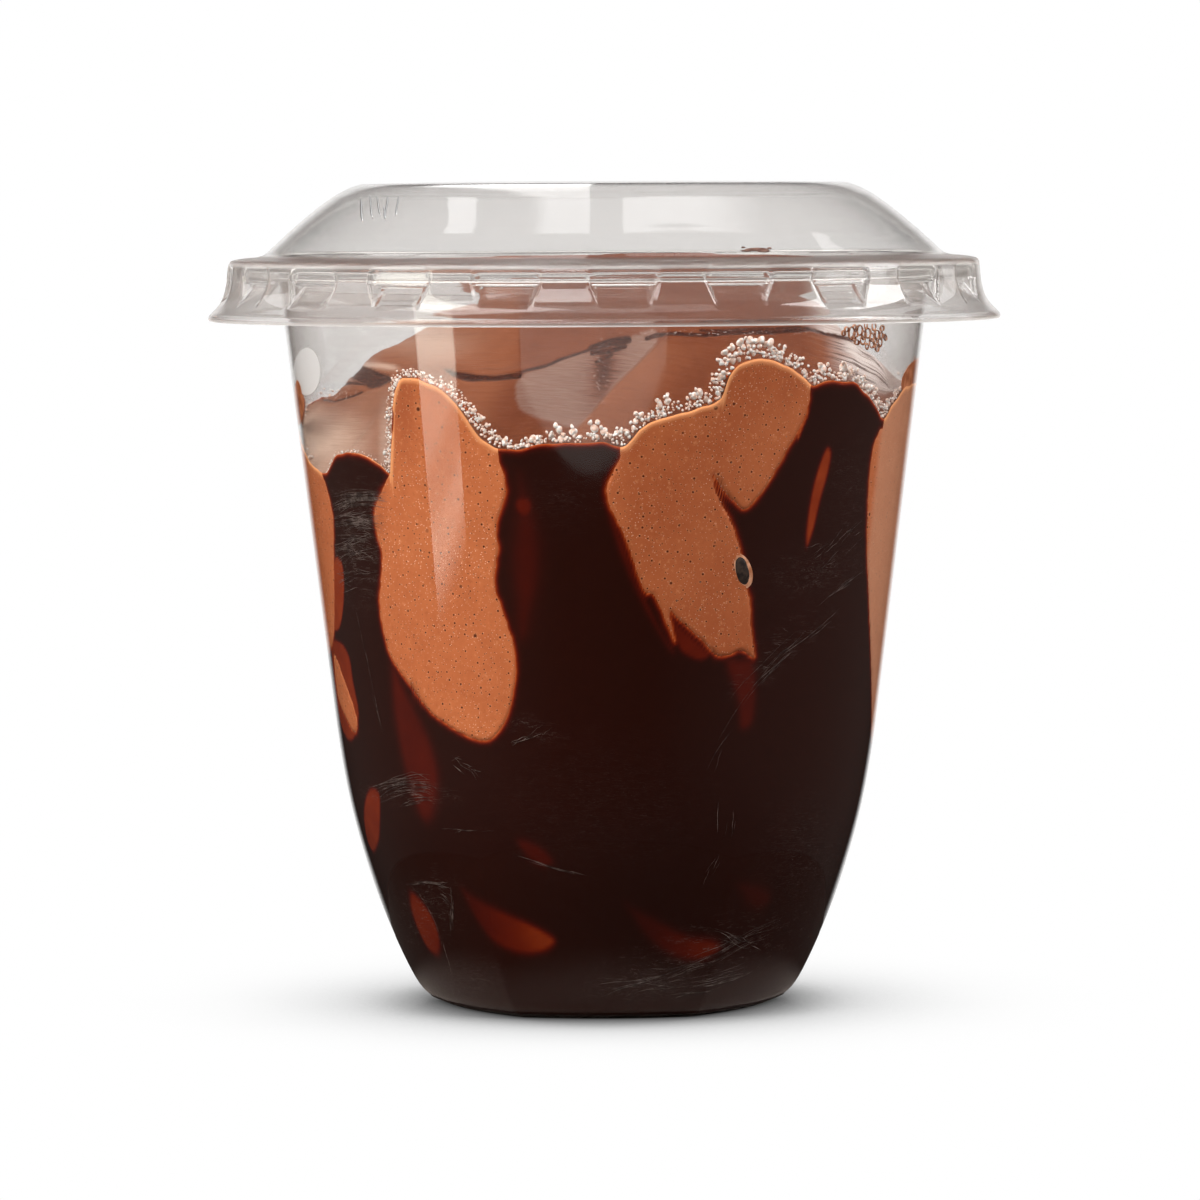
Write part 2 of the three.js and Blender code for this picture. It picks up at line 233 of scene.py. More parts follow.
def inside_by(x, y, outline, reach=6.0):
    """Signed distance to a closed outline, + inside. Beyond `reach` outside its box it is just -reach."""
    ox, oy = outline[:, 0], outline[:, 1]
    res = np.full(x.shape, -reach)
    near = (x > ox.min() - reach) & (x < ox.max() + reach) & (y > oy.min() - reach) & (y < oy.max() + reach)
    if not near.any():
        return res
    px, py = x[near], y[near]
    bx, by = np.roll(ox, -1), np.roll(oy, -1)
    dist = segments_distance(px, py, ox, oy, bx, by)
    inside = np.zeros(px.shape, bool)
    for i in range(len(ox)):
        crosses = (oy[i] > py) != (by[i] > py)
        denom = (by[i] - oy[i]) if by[i] != oy[i] else 1e-12
        inside ^= crosses & (px < (bx[i] - ox[i]) * (py - oy[i]) / denom + ox[i])
    res[near] = np.where(inside, dist, -dist)
    return np.maximum(res, -reach)


def line_distance(x, y, line):
    line = np.asarray(line, float)
    return segments_distance(x, y, line[:-1, 0], line[:-1, 1], line[1:, 0], line[1:, 1])


def side_of(x, y, line):
    """Signed distance to an open polyline that runs to the right: + below it in the frame."""
    line = np.asarray(line, float)
    best = np.full(x.shape, 1e9)
    sign = np.ones(x.shape)
    for a, b in zip(line[:-1], line[1:]):
        dx, dy = b - a
        t = np.clip(((x - a[0]) * dx + (y - a[1]) * dy) / (dx * dx + dy * dy), 0, 1)
        d = np.hypot(x - a[0] - dx * t, y - a[1] - dy * t)
        side = np.where(dx * (y - a[1]) - dy * (x - a[0]) >= 0, 1.0, -1.0)
        sign = np.where(d < best - 1e-6, side, sign)
        best = np.minimum(best, d)
    return best * sign


def ridge(s, soft, reach):
    return smooth(-soft, soft, s) * (1 - smooth(soft, reach, s))


def blob(x, y, cx, cy, rx, ry, turn=0.0):
    """1 in the middle of an oval, 0 outside it."""
    a = math.radians(turn)
    dx, dy = x - cx, y - cy
    u = (dx * math.cos(a) + dy * math.sin(a)) / rx
    v = (-dx * math.sin(a) + dy * math.cos(a)) / ry
    return np.exp(-(u * u + v * v))


def waves(x, y, scale, seed, octaves=3):
    """Smooth, repeatable unevenness about -1 to 1, from sines in random directions."""
    g = np.random.default_rng(seed)
    total = np.zeros(np.broadcast(x, y).shape)
    amp, norm = 1.0, 0.0
    for o in range(octaves):
        for _ in range(5):
            a, ph = g.uniform(0, 2 * math.pi), g.uniform(0, 2 * math.pi)
            k = 2 * math.pi / scale * (2 ** o) * g.uniform(0.7, 1.4)
            total = total + amp * np.sin(k * (x * math.cos(a) + y * math.sin(a)) + ph)
        norm += amp * 1.8
        amp *= 0.5
    return total / norm


# ------------------------------------------------------------------ node tools
class Tree:
    def __init__(self, owner):
        owner.use_nodes = True
        self.t = owner.node_tree
        self.t.nodes.clear()

    def node(self, kind, inputs=None, **props):
        n = self.t.nodes.new(kind)
        for k, v in props.items():
            setattr(n, k, v)
        for k, v in (inputs or {}).items():
            self.put(n.inputs[k], v)
        return n

    def put(self, socket, v):
        if isinstance(v, bpy.types.NodeSocket):
            self.t.links.new(v, socket)
        elif v is not None:
            if hasattr(socket.default_value, "__len__") and len(socket.default_value) == 4 and len(v) == 3:
                v = (*v, 1.0)
            socket.default_value = v

    def math(self, op, a, b=None, c=None, clamp=False):
        n = self.node("ShaderNodeMath", operation=op, use_clamp=clamp)
        for i, v in enumerate((a, b, c)):
            if v is not None:
                self.put(n.inputs[i], v)
        return n.outputs[0]

    def ramp(self, fac, stops, interp="LINEAR"):
        n = self.node("ShaderNodeValToRGB", {"Fac": fac})
        n.color_ramp.interpolation = interp
        els = n.color_ramp.elements
        while len(els) < len(stops):
            els.new(0.5)
        for e, (pos, col) in zip(els, stops):
            e.position = pos
            if not hasattr(col, "__len__"):
                col = (col, col, col)
            e.color = (*col, 1.0)
        return n.outputs["Color"]

    def step(self, v, a, b):
        """0 at a, 1 at b, smooth between; a may be above b."""
        n = self.node("ShaderNodeMapRange", {"Value": v, "From Min": a, "From Max": b, "To Min": 0.0, "To Max": 1.0})
        n.interpolation_type = "SMOOTHSTEP"
        n.clamp = True
        return n.outputs["Result"]

    def attr(self, name):
        return self.node("ShaderNodeAttribute", attribute_name=name).outputs["Fac"]

    def mix(self, fac, a, b, blend="MIX"):
        n = self.node("ShaderNodeMix", data_type="RGBA", blend_type=blend)
        self.put(n.inputs["Factor"], fac)
        self.put(n.inputs[6], a)
        self.put(n.inputs[7], b)
        return n.outputs[2]

    def noise(self, vector, scale, detail=2.0, rough=0.5, distortion=0.0, out="Fac"):
        n = self.node("ShaderNodeTexNoise", {"Vector": vector, "Scale": scale, "Detail": detail, "Roughness": rough,
                                             "Distortion": distortion})
        return n.outputs[out]

    def voronoi(self, vector, scale, feature="F1", out="Distance", rand=1.0):
        n = self.node("ShaderNodeTexVoronoi", {"Vector": vector, "Scale": scale, "Randomness": rand}, feature=feature)
        return n.outputs[out]

    def mapping(self, vector, loc=(0, 0, 0), rot=(0, 0, 0), scale=(1, 1, 1)):
        n = self.node("ShaderNodeMapping", {"Vector": vector, "Location": loc, "Rotation": rot, "Scale": scale})
        return n.outputs["Vector"]

    def coords(self):
        return self.node("ShaderNodeTexCoord").outputs["Object"]

    def uv(self, name):
        return self.node("ShaderNodeUVMap", uv_map=name).outputs["UV"]

    def bump(self, height, strength, distance, normal=None):
        n = self.node("ShaderNodeBump", {"Height": height, "Strength": strength, "Distance": distance})
        if normal is not None:
            self.put(n.inputs["Normal"], normal)
        return n.outputs["Normal"]

    def out(self, shader):
        self.node("ShaderNodeOutputMaterial", {"Surface": shader})


def material(name):
    m = bpy.data.materials.new(name)
    return m, Tree(m)


# ------------------------------------------------------------------ materials
def clear_plastic(name, tint, waviness, film=False):
    """Thin clear PET: light from lamps goes straight through, everything else refracts."""
    m, t = material(name)
    obj = t.coords()
    fine = t.noise(obj, 260.0, 2.0)
    broad = t.noise(obj, 38.0, 2.0)
    bump = t.bump(broad, waviness, 0.0009)
    rough = t.math("MULTIPLY_ADD", fine, 0.03, 0.012)
    p = t.node("ShaderNodeBsdfPrincipled", {
        "Base Color": tint, "Roughness": rough, "IOR": 1.5, "Transmission Weight": 1.0, "Normal": bump,
    })
    surface = p.outputs[0]
    if name == "lid_clear":
        veil = t.node("ShaderNodeBsdfTranslucent", {"Color": (0.90, 0.87, 0.84)})
        soft = t.node("ShaderNodeMixShader", {"Fac": t.math("MULTIPLY", t.attr("haze"), t.math("MULTIPLY_ADD", fine, 0.3, 0.85), clamp=True)})
        t.put(soft.inputs[1], p.outputs[0])
        t.put(soft.inputs[2], veil.outputs[0])
        surface = soft.outputs[0]
    if film:
        # a thin smeared film of melted ice cream left on the inside above the contents
        uv = t.uv("wall")
        wipe = t.noise(t.mapping(uv, rot=(0, 0, 0.35), scale=(0.10, 1.1, 1)), 1.6, 4.0, 0.6, 0.4)
        fog = t.noise(t.mapping(uv, scale=(0.08, 0.1, 1)), 2.0, 2.0)
        amount = t.math("MULTIPLY", t.attr("film"), t.math("MULTIPLY_ADD", wipe, 0.55, 0.62))
        amount = t.math("MULTIPLY", amount, t.math("MULTIPLY_ADD", fog, 0.3, 0.85))
        amount = t.math("MULTIPLY", amount, 1.0, clamp=True)
        oval = t.step(t.attr("oval"), -0.05, 0.05)
        amount = t.node("ShaderNodeMix", {"Factor": oval, "A": amount, "B": 0.62}).outputs[0]
        tone = t.mix(oval, t.mix(wipe, (0.52, 0.43, 0.38), (0.66, 0.57, 0.52)), (1.0, 0.99, 0.98))
        d1 = t.node("ShaderNodeBsdfDiffuse", {"Color": tone})
        d2 = t.node("ShaderNodeBsdfTranslucent", {"Color": t.mix(oval, (0.60, 0.50, 0.45), (1.0, 0.99, 0.98))})
        both = t.node("ShaderNodeMixShader", {"Fac": 0.4})
        t.put(both.inputs[1], d1.outputs[0])
        t.put(both.inputs[2], d2.outputs[0])
        coat = t.node("ShaderNodeMixShader", {"Fac": amount})
        t.put(coat.inputs[1], p.outputs[0])
        t.put(coat.inputs[2], both.outputs[0])
        surface = coat.outputs[0]
    clear = t.node("ShaderNodeBsdfTransparent", {"Color": (0.98, 0.98, 0.98)})
    lp = t.node("ShaderNodeLightPath")
    fac = t.math("MAXIMUM", lp.outputs["Is Shadow Ray"], lp.outputs["Is Diffuse Ray"])
    mix = t.node("ShaderNodeMixShader", {"Fac": fac})
    t.put(mix.inputs[1], surface)
    t.put(mix.inputs[2], clear.outputs[0])
    t.out(mix.outputs[0])
    return m


CUP_MAT = clear_plastic("cup_clear", (0.985, 0.985, 0.98), 0.006, film=True)
LID_MAT = clear_plastic("lid_clear", (0.975, 0.969, 0.961), 0.012)

ICE = (0.55, 0.138, 0.045)
SAUCE = (0.019, 0.0042, 0.0024)


def mousse_side():
    m, t = material("ice_cream_side")
    obj = t.coords()
    uv = t.uv("lay")
    mottle = t.noise(obj, 420.0, 3.0, 0.65)
    grain = t.noise(obj, 1700.0, 2.0, 0.6)
    broad = t.noise(obj, 90.0, 2.0)
    base = t.mix(mottle, (0.45, 0.113, 0.038), (0.63, 0.180, 0.066))
    # painted shade: patch B on the right and the upper left of patch A are darkened where less light falls on them, and
    # the back by half as much
    base = t.mix(t.math("MULTIPLY", t.attr("shade"), 0.38), base, (0.22, 0.036, 0.012))
    base = t.mix(t.math("MULTIPLY", t.step(broad, 0.35, 0.7), 0.25), base, (0.66, 0.205, 0.075))
    base = t.mix(t.math("MULTIPLY", t.step(grain, 0.42, 0.25), 0.24), base, (0.30, 0.068, 0.020))
    base = t.mix(t.math("MULTIPLY", t.step(grain, 0.58, 0.75), 0.30), base, (0.80, 0.34, 0.16))
    # pores: dark pinholes with a pale lip; the darkness in each hole is painted shade
    for scale, low, grow, keep, depth in ((0.66, 0.050, 0.055, 0.12, 0.95), (1.20, 0.062, 0.060, 0.35, 0.75), (0.14, 0.024, 0.018, 0.66, 0.9)):
        dist = t.node("ShaderNodeTexVoronoi", {"Vector": uv, "Scale": scale}, voronoi_dimensions="2D")
        pick = t.node("ShaderNodeSeparateColor", {"Color": dist.outputs["Color"]})
        size = t.math("MULTIPLY_ADD", pick.outputs[0], grow, low)
        chosen = t.step(pick.outputs[1], keep, keep + 0.15)
        lip = t.math("MULTIPLY", t.step(dist.outputs["Distance"], t.math("MULTIPLY", size, 2.4), size), chosen)
        base = t.mix(t.math("MULTIPLY", lip, 0.16), base, (0.85, 0.36, 0.17))
        hole = t.math("MULTIPLY", t.step(dist.outputs["Distance"], t.math("MULTIPLY", size, 1.25), t.math("MULTIPLY", size, 0.6)), chosen)
        base = t.mix(t.math("MULTIPLY", hole, depth), base, (0.07, 0.013, 0.006))
    # painted highlights: pale glints of frost sparkle
    g = t.node("ShaderNodeTexVoronoi", {"Vector": uv, "Scale": 2.6}, voronoi_dimensions="2D")
    pick = t.node("ShaderNodeSeparateColor", {"Color": g.outputs["Color"]})
    glint = t.math("MULTIPLY", t.step(g.outputs["Distance"], 0.20, 0.08), t.step(pick.outputs[2], 0.55, 0.9))
    base = t.mix(t.math("MULTIPLY", glint, t.attr("frost"), clamp=True), base, (1.0, 0.70, 0.50))
    # painted reflection: patch C on the right is paler and greyer where the bright backdrop's reflection lies over it
    base = t.mix(t.attr("wan"), base, t.mix(mottle, (0.56, 0.25, 0.14), (0.66, 0.34, 0.21)))
    # the edge next to air is brighter and more orange
    base = t.mix(t.attr("rim"), base, (0.90, 0.38, 0.16))
    p = t.node("ShaderNodeBsdfPrincipled", {
        "Base Color": base, "Roughness": t.math("MULTIPLY_ADD", mottle, 0.2, 0.5), "Specular IOR Level": 0.03,
        "Normal": t.bump(mottle, 0.15, 0.0002),
    })
    t.out(p.outputs[0])
    return m


def mousse_top():
    m, t = material("ice_cream_top")
    obj = t.coords()
    uv = t.uv("lay")
    flow = t.uv("flow")
    mottle = t.noise(obj, 380.0, 3.0, 0.6)
    streak = t.noise(t.mapping(flow, scale=(0.10, 1.4, 1)), 2.2, 4.0, 0.6, 0.3)
    fine = t.noise(t.mapping(flow, scale=(0.12, 3.6, 1)), 3.0, 3.0, 0.6, 0.2)
    base = t.mix(mottle, (0.118, 0.028, 0.0098), (0.165, 0.042, 0.016))
    tan = t.mix(mottle, (0.19, 0.057, 0.024), (0.245, 0.080, 0.036))
    base = t.mix(t.attr("tone"), base, tan)
    base = t.mix(t.math("MULTIPLY", t.step(streak, 0.52, 0.72), 0.38), base, t.mix(0.55, base, (0.07, 0.014, 0.006)))
    base = t.mix(t.math("MULTIPLY", t.step(fine, 0.52, 0.78), 0.22), base, t.mix(0.25, base, (0.55, 0.26, 0.16)))
    # a pale greyish veil with brush lines
    veil = t.math("MULTIPLY", t.attr("veil"), t.math("MULTIPLY_ADD", t.step(fine, 0.34, 0.66), 0.55, 0.52), clamp=True)
    base = t.mix(veil, base, (0.235, 0.135, 0.105))
    pale = t.math("MULTIPLY", t.attr("pale"), t.math("MULTIPLY_ADD", t.step(fine, 0.34, 0.66), 0.30, 0.75), clamp=True)
    base = t.mix(pale, base, (0.56, 0.38, 0.29))
    white = t.math("MULTIPLY", t.attr("white"), t.math("MULTIPLY_ADD", t.step(fine, 0.34, 0.66), 0.40, 0.65), clamp=True)
    base = t.mix(white, base, (0.62, 0.53, 0.49))
    # separate dark strokes left by the brush of sauce
    ribs = t.noise(t.mapping(flow, scale=(0.05, 2.6, 1)), 3.2, 3.0, 0.7, 0.2)
    rib = t.math("MULTIPLY", t.step(ribs, 0.50, 0.60), t.attr("ribs"), clamp=True)
    base = t.mix(rib, base, (0.055, 0.013, 0.006))
    # sauce smeared over the top, with torn edges along the strokes; under the middle fold the dark area is partly sauce
    # and partly painted shadow of the fold's overhang
    blot = t.noise(t.mapping(uv, rot=(0, 0, 0.1), scale=(1.0, 2.4, 1)), 3.0, 5.0, 0.7, 0.5)
    torn = t.math("MULTIPLY_ADD", blot, 4.0, -2.0)
    dark = t.step(t.math("ADD", t.attr("dark"), torn), -0.6, 0.8)
    base = t.mix(dark, base, t.mix(t.step(blot, 0.45, 0.6), (0.028, 0.006, 0.003), (0.085, 0.019, 0.008)))
    # painted highlights: wet glints between the strokes
    g = t.noise(obj, 2100.0, 1.0)
    base = t.mix(t.math("MULTIPLY", t.step(g, 0.62, 0.72), t.attr("wet"), clamp=True), base, (0.85, 0.72, 0.66))
    rough = t.math("MULTIPLY_ADD", dark, -0.22, 0.55)
    relief = t.math("ADD", t.math("MULTIPLY", streak, 0.6), t.math("MULTIPLY", fine, 0.4))
    p = t.node("ShaderNodeBsdfPrincipled", {
        "Base Color": base, "Roughness": rough, "Specular IOR Level": 0.07,
        "Normal": t.bump(relief, 0.45, 0.0006),
    })
    t.out(p.outputs[0])
    return m


def sauce_mat():
    m, t = material("sauce_layer")
    obj = t.coords()
    uv = t.uv("wall")
    mottle = t.noise(obj, 300.0, 2.0)
    thick = t.attr("thick")
    thick = t.math("ADD", thick, t.math("MULTIPLY", t.math("SUBTRACT", mottle, 0.5), t.math("MINIMUM", thick, 0.5)))
    thick = t.math("MAXIMUM", thick, 0.0)
    parts = [t.math("POWER", math.exp(-k), thick) for k in (1.40, 2.65, 4.0)]
    through = [t.math("MULTIPLY_ADD", parts[i], ICE[i], SAUCE[i]) for i in range(3)]
    col = t.node("ShaderNodeCombineColor", {"Red": through[0], "Green": through[1], "Blue": through[2]}).outputs[0]
    # fine scuffs and smears where the sauce rubs the wall
    lines = t.noise(t.mapping(uv, rot=(0, 0, -0.12), scale=(0.16, 1.5, 1)), 1.3, 4.0, 0.62, 0.8)
    lines2 = t.noise(t.mapping(uv, rot=(0, 0, 0.45), scale=(0.13, 1.3, 1)), 1.2, 4.0, 0.62, 0.6)
    thin = t.step(t.math("ABSOLUTE", t.math("SUBTRACT", t.math("FRACT", t.math("MULTIPLY", lines, 9.0)), 0.5)), 0.10, 0.0)
    thin2 = t.step(t.math("ABSOLUTE", t.math("SUBTRACT", t.math("FRACT", t.math("MULTIPLY", lines2, 8.0)), 0.5)), 0.09, 0.0)
    gap = t.noise(t.mapping(uv, scale=(0.30, 1.0, 1)), 1.1, 3.0)
    thin = t.math("MULTIPLY", thin, t.step(gap, 0.40, 0.62))
    thin2 = t.math("MULTIPLY", thin2, t.step(gap, 0.58, 0.38))
    s1 = t.math("MULTIPLY", thin, t.attr("scuff"))
    s2 = t.math("MULTIPLY", thin2, t.attr("scuff2"))
    scuff = t.math("MAXIMUM", s1, s2, clamp=True)
    col = t.mix(scuff, col, (0.20, 0.15, 0.13))
    p = t.node("ShaderNodeBsdfPrincipled", {
        "Base Color": col, "Roughness": t.math("MULTIPLY_ADD", mottle, 0.15, 0.25), "Specular IOR Level": 0.02,
    })
    t.out(p.outputs[0])
    return m


def bead_mat():
    m, t = material("frost_beads")
    obj = t.coords()
    n = t.noise(obj, 2300.0, 2.0)
    p = t.node("ShaderNodeBsdfPrincipled", {
        "Base Color": t.mix(t.step(n, 0.40, 0.64), (0.86, 0.58, 0.46), (1.0, 0.95, 0.91)), "Roughness": t.math("MULTIPLY_ADD", n, 0.2, 0.06),
        "IOR": 1.4, "Transmission Weight": 0.06, "Normal": t.bump(n, 0.5, 0.0002),
    })
    t.out(p.outputs[0])
    return m


def solid_mat(name, dark, light, rough, scale=900.0, bump=0.3, spec=0.3):
    m, t = material(name)
    n = t.noise(t.coords(), scale, 3.0)
    p = t.node("ShaderNodeBsdfPrincipled", {
        "Base Color": t.mix(t.step(n, 0.35, 0.65), dark, light), "Roughness": t.math("MULTIPLY_ADD", n, 0.15, rough),
        "Specular IOR Level": spec, "Normal": t.bump(n, bump, 0.0002),
    })
    t.out(p.outputs[0])
    return m


SIDE_MAT, TOP_MAT, SAUCE_MAT, BEAD_MAT = mousse_side(), mousse_top(), sauce_mat(), bead_mat()
LACE_MAT = solid_mat("bubble_lace", (0.17, 0.040, 0.012), (0.62, 0.28, 0.15), 0.12, 1700.0)
SEED_MAT = solid_mat("seed_shell", (0.012, 0.007, 0.006), (0.05, 0.03, 0.022), 0.25, 1500.0)
SMEAR_MAT = solid_mat("smear", (0.36, 0.10, 0.035), (0.62, 0.21, 0.09), 0.4, 600.0, 0.2, 0.1)
DOME_SMEAR_MAT = solid_mat("dome_smear", (0.10, 0.04, 0.025), (0.24, 0.13, 0.10), 0.4, 1500.0, 0.2, 0.1)
SCRATCH_MAT = solid_mat("wall_scratch", (0.03, 0.018, 0.014), (0.21, 0.15, 0.13), 0.4, 900.0, 0.2, 0.1)
HALO_MAT = solid_mat("seed_halo", (0.40, 0.14, 0.06), (0.70, 0.36, 0.22), 0.4, 900.0, 0.2, 0.1)

# ------------------------------------------------------------------ cup shell
def build_cup():
    cols = 288
    deg = np.arange(cols) * 360.0 / cols
    zo = np.concatenate([[0.0, 0.12, 0.3, 0.55, 0.85, 1.2, 1.7, 2.3], np.arange(3, 40, 1.0), np.arange(40, 92.5, 2.0)])
    rim = rounded([
        (float(taper(92.0)), 92.0, 0), (42.0, 94.4, 0.35), (46.0, 94.4, 0.2), (46.05, 93.35, 0.12), (46.6, 93.15, 0.2), (47.3, 93.4, 0.3),
        (47.3, 95.0, 0.35), (42.25, 95.0, 0.5), (float(taper(92.6)) - 0.5, 92.6, 0),
    ], 5)[1:-1]
    zi = np.concatenate([np.arange(92, 66, -0.8), np.arange(66, 40, -2.0), np.arange(40, 2.2, -1.0), [2.2, 1.6, 1.1]])
    rows = []
    for r in (6.0, 12.0, 16.0, 19.0):
        rows.append(polar(deg, r * facet(deg, 0), 0.35 * float(smooth(19.5, 15, r))))
    for z in zo:
        rows.append(polar(deg, wall_out(deg, z), z))
    for r, z in rim:
        rows.append(polar(deg, r, z))
    inner_first = len(rows)
    for z in zi:
        rows.append(polar(deg, wall_in(deg, max(z, 1.1)), z))
    inner_last = len(rows)
    for r, z in ((0.93, 0.72), (0.75, 0.62), (0.4, 0.9)):
        rows.append(polar(deg, r * wall_in(deg, 1.1), z))
    v = np.concatenate(rows)
    n = len(rows)
    wrapped = np.where(deg > 180, deg - 360, deg)
    film = np.zeros((n, cols))
    oval = np.full((n, cols), -1.0)
    for k in range(inner_first, inner_last):
        p = rows[k]
        above = smooth(-0.2, 0.5, p[:, 2] - contact(wrapped))
        px = project(p)
        f, o = film_at(px[:, 0], px[:, 1], p[:, 1] < 0)
        film[k] = f * above
        oval[k] = o
    wall = np.stack([np.tile(wrapped * MM_DEG, n), v[:, 2]], -1)
    q = ring_quads(n, cols)
    first, last = len(v), len(v) + 1
    v = np.vstack([v, [[0, 0, 0.35]], [[0, 0, 0.95]]])
    t = np.vstack([cap_tris(0, cols, first, flip=True), cap_tris((n - 1) * cols, cols, last)])
    return make_piece("cup_shell", v, q, t, attrs={"film": np.append(film.ravel(), [0, 0]), "oval": np.append(oval.ravel(), [-1, -1])},
                      uvs={"wall": np.vstack([wall, [[0, 0]], [[0, 0]]])}, mats=[CUP_MAT], replaces=["cup"])


def film_at(x, y, front):
    """How much of the smeared film is on the inner wall there, and where the near-white oval in the film is (+ inside).
    """
    horizon = np.interp(x, [285, 300, 319, 331, 345, 363, 378, 392, 408, 451, 470, 800, 816, 852, 875, 884, 890, 930],
                        [410, 402, 390, 381, 373, 361, 351.6, 344.5, 339.4, 330, 322, 322, 331, 342, 356, 370, 386, 380])
    above = smooth(4, -8, y - horizon)
    f = np.where(front, 0.0, 0.19)
    f = f + np.where(front, 0.17 * smooth(445, 375, x) * (0.25 + 0.75 * above) + 0.15 * smooth(835, 880, x) * (0.3 + 0.7 * above), 0)
    f = f + np.where(front, 0.16 * blob(x, y, 314, 446, 22, 14) + 0.20 * blob(x, y, 388, 446, 7, 45) + 0.08 * blob(x, y, 440, 332, 60, 10)
                     + 0.22 * blob(x, y, 888, 384, 20, 26), 0)
    u, v = (x - 309.6) / 13.0, (y - 371) / 24.0
    oval = np.where(front, 1 - np.sqrt((u * 0.99 + v * 0.12) ** 2 + (v * 0.99 - u * 0.12) ** 2), -1.0)
    return np.clip(f, 0, 0.8), np.clip(oval, -1, 1)


# ------------------------------------------------------------------ lid shell
LUGS, LUG_PHASE = 21, 2.8
LID_LINE = [
    (31.0, 105.33), (31.9, 105.1), (33.0, 104.7), (34.4, 103.9), (35.5, 103.15), (36.5, 102.4), (37.6, 101.6), (38.5, 100.85), (39.4, 100.1),
    (40.3, 99.35), (41.1, 98.55), (41.9, 97.8), (42.8, 97.0), (43.3, 96.55), (43.9, 96.2), (44.8, 96.0), (46.1, 95.9), (47.3, 95.72),
    (47.9, 95.5), (48.15, 95.1), (48.25, 94.6), (48.32, 94.0), (48.38, 93.4), (48.43, 92.8), (48.6, 91.9), (48.85, 91.0), (49.25, 90.2), (49.75, 89.55),
    (50.3, 89.0), (50.68, 88.62),
]


def lug_depth(off_deg, z):
    """How far the skirt is pushed in at an angle off_deg from a lug's middle: a six-sided pocket with a ledge."""
    s = np.abs(off_deg) * math.radians(1) * 48.4
    half = np.interp(z, [90.2, 93.0, 93.7, 95.05], [3.05, 4.35, 4.6, 3.6])
    low = np.interp(z, [90.2, 92.78, 92.98, 94.75, 95.05], [0.0, 1.60, 0.62, 0.45, 0.0])
    side = np.maximum(0, half - s) * np.where(z > 93.0, 2.2, 1.5)
    d = np.minimum(side, low)
    return np.where((z < 90.2) | (z > 95.05), 0, np.maximum(d, 0))


def build_lid():
    dome = np.array(LID_LINE[:14])
    fit = np.polyfit(dome[:, 0] - 38, dome[:, 1], 4)
    smooth_dome = [(r, float(np.polyval(fit, r - 38)) + 0.030 * math.exp(-((r - 34.7) / 0.45) ** 2) + 0.030 * math.exp(-((r - 40.5) / 0.45) ** 2))
                   for r in np.arange(31.0, 43.0, 0.42)]
    line = spline(smooth_dome + LID_LINE[13:], 0.42)
    top = np.array([(r, 105.6 - 0.27 * (r / 31.0) ** 3) for r in (4.0, 10.0, 16.0, 22.0, 26.0, 29.0)])
    # extra rows where the lug ledge turns
    outer = [tuple(p) for p in line]
    extra = [(np.interp(-z, [-93.4, -92.8], [48.38, 48.43]), z) for z in (93.1, 93.0, 92.93, 92.86, 92.8)]
    outer = sorted({(round(float(r), 4), round(float(z), 4)) for r, z in outer + extra if z < 93.4 or True}, key=lambda p: (-p[1], p[0]))
    outer = np.array([p for p in outer])
    outer = np.vstack([top, outer])
    # inner face: the same line set in by the sheet's thickness
    tan = np.gradient(outer, axis=0)
    tan /= np.linalg.norm(tan, axis=1)[:, None]
    normal = np.stack([tan[:, 1], -tan[:, 0]], 1)          # points inward and down
    inner = outer + normal * 0.4
    edge = rounded([(50.68, 88.62, 0), (50.82, 88.25, 0.25), (50.72, 87.92, 0.18), (50.4, 87.86, 0.15), (50.3, 88.1, 0.1), (inner[-1][0], inner[-1][1], 0)], 3)[1:-1]
    local = np.array([0, 1.5, 2.7, 3.3, 3.7, 4.0, 4.25, 4.5, 4.75, 5.0, 5.25, 5.5, 5.8, 6.6])
    local = np.concatenate([-local[:0:-1], local, [360 / LUGS / 2]])
    deg = np.concatenate([LUG_PHASE + i * 360 / LUGS + local for i in range(LUGS)])
    off = np.tile(local, LUGS)
    cols = len(deg)
    rows = []

    def add(r, z, zl):
        rows.append(polar(deg, r - lug_depth(off, np.full(cols, zl)), z))

    for r, z in outer:
        add(r, z, z)
    for r, z in edge:
        add(r, z, z)
    for (r, z), (ro, zo) in zip(inner[::-1], outer[::-1]):
        add(r, z, zo)
    v = np.concatenate(rows)
    n = len(rows)
    q = ring_quads(n, cols, flip=True)
    zv, rv = v[:, 2], np.hypot(v[:, 0], v[:, 1])
    haze = 0.50 * smooth(96.35, 96.0, zv) * smooth(94.9, 95.25, zv) * smooth(42.5, 44.5, rv) + 0.22 * smooth(88.5, 88.1, zv) + 0.05 + 0.11 * smooth(95.4, 94.6, zv)
    a, b = len(v), len(v) + 1
    v = np.vstack([v, [[0, 0, 105.6]], [[0, 0, 105.2]]])
    t = np.vstack([cap_tris(0, cols, a), cap_tris((n - 1) * cols, cols, b, flip=True)])
    return make_piece("lid_shell", v, q, t, attrs={"haze": np.append(haze, [0.05, 0.05])}, mats=[LID_MAT], replaces=["lid"])


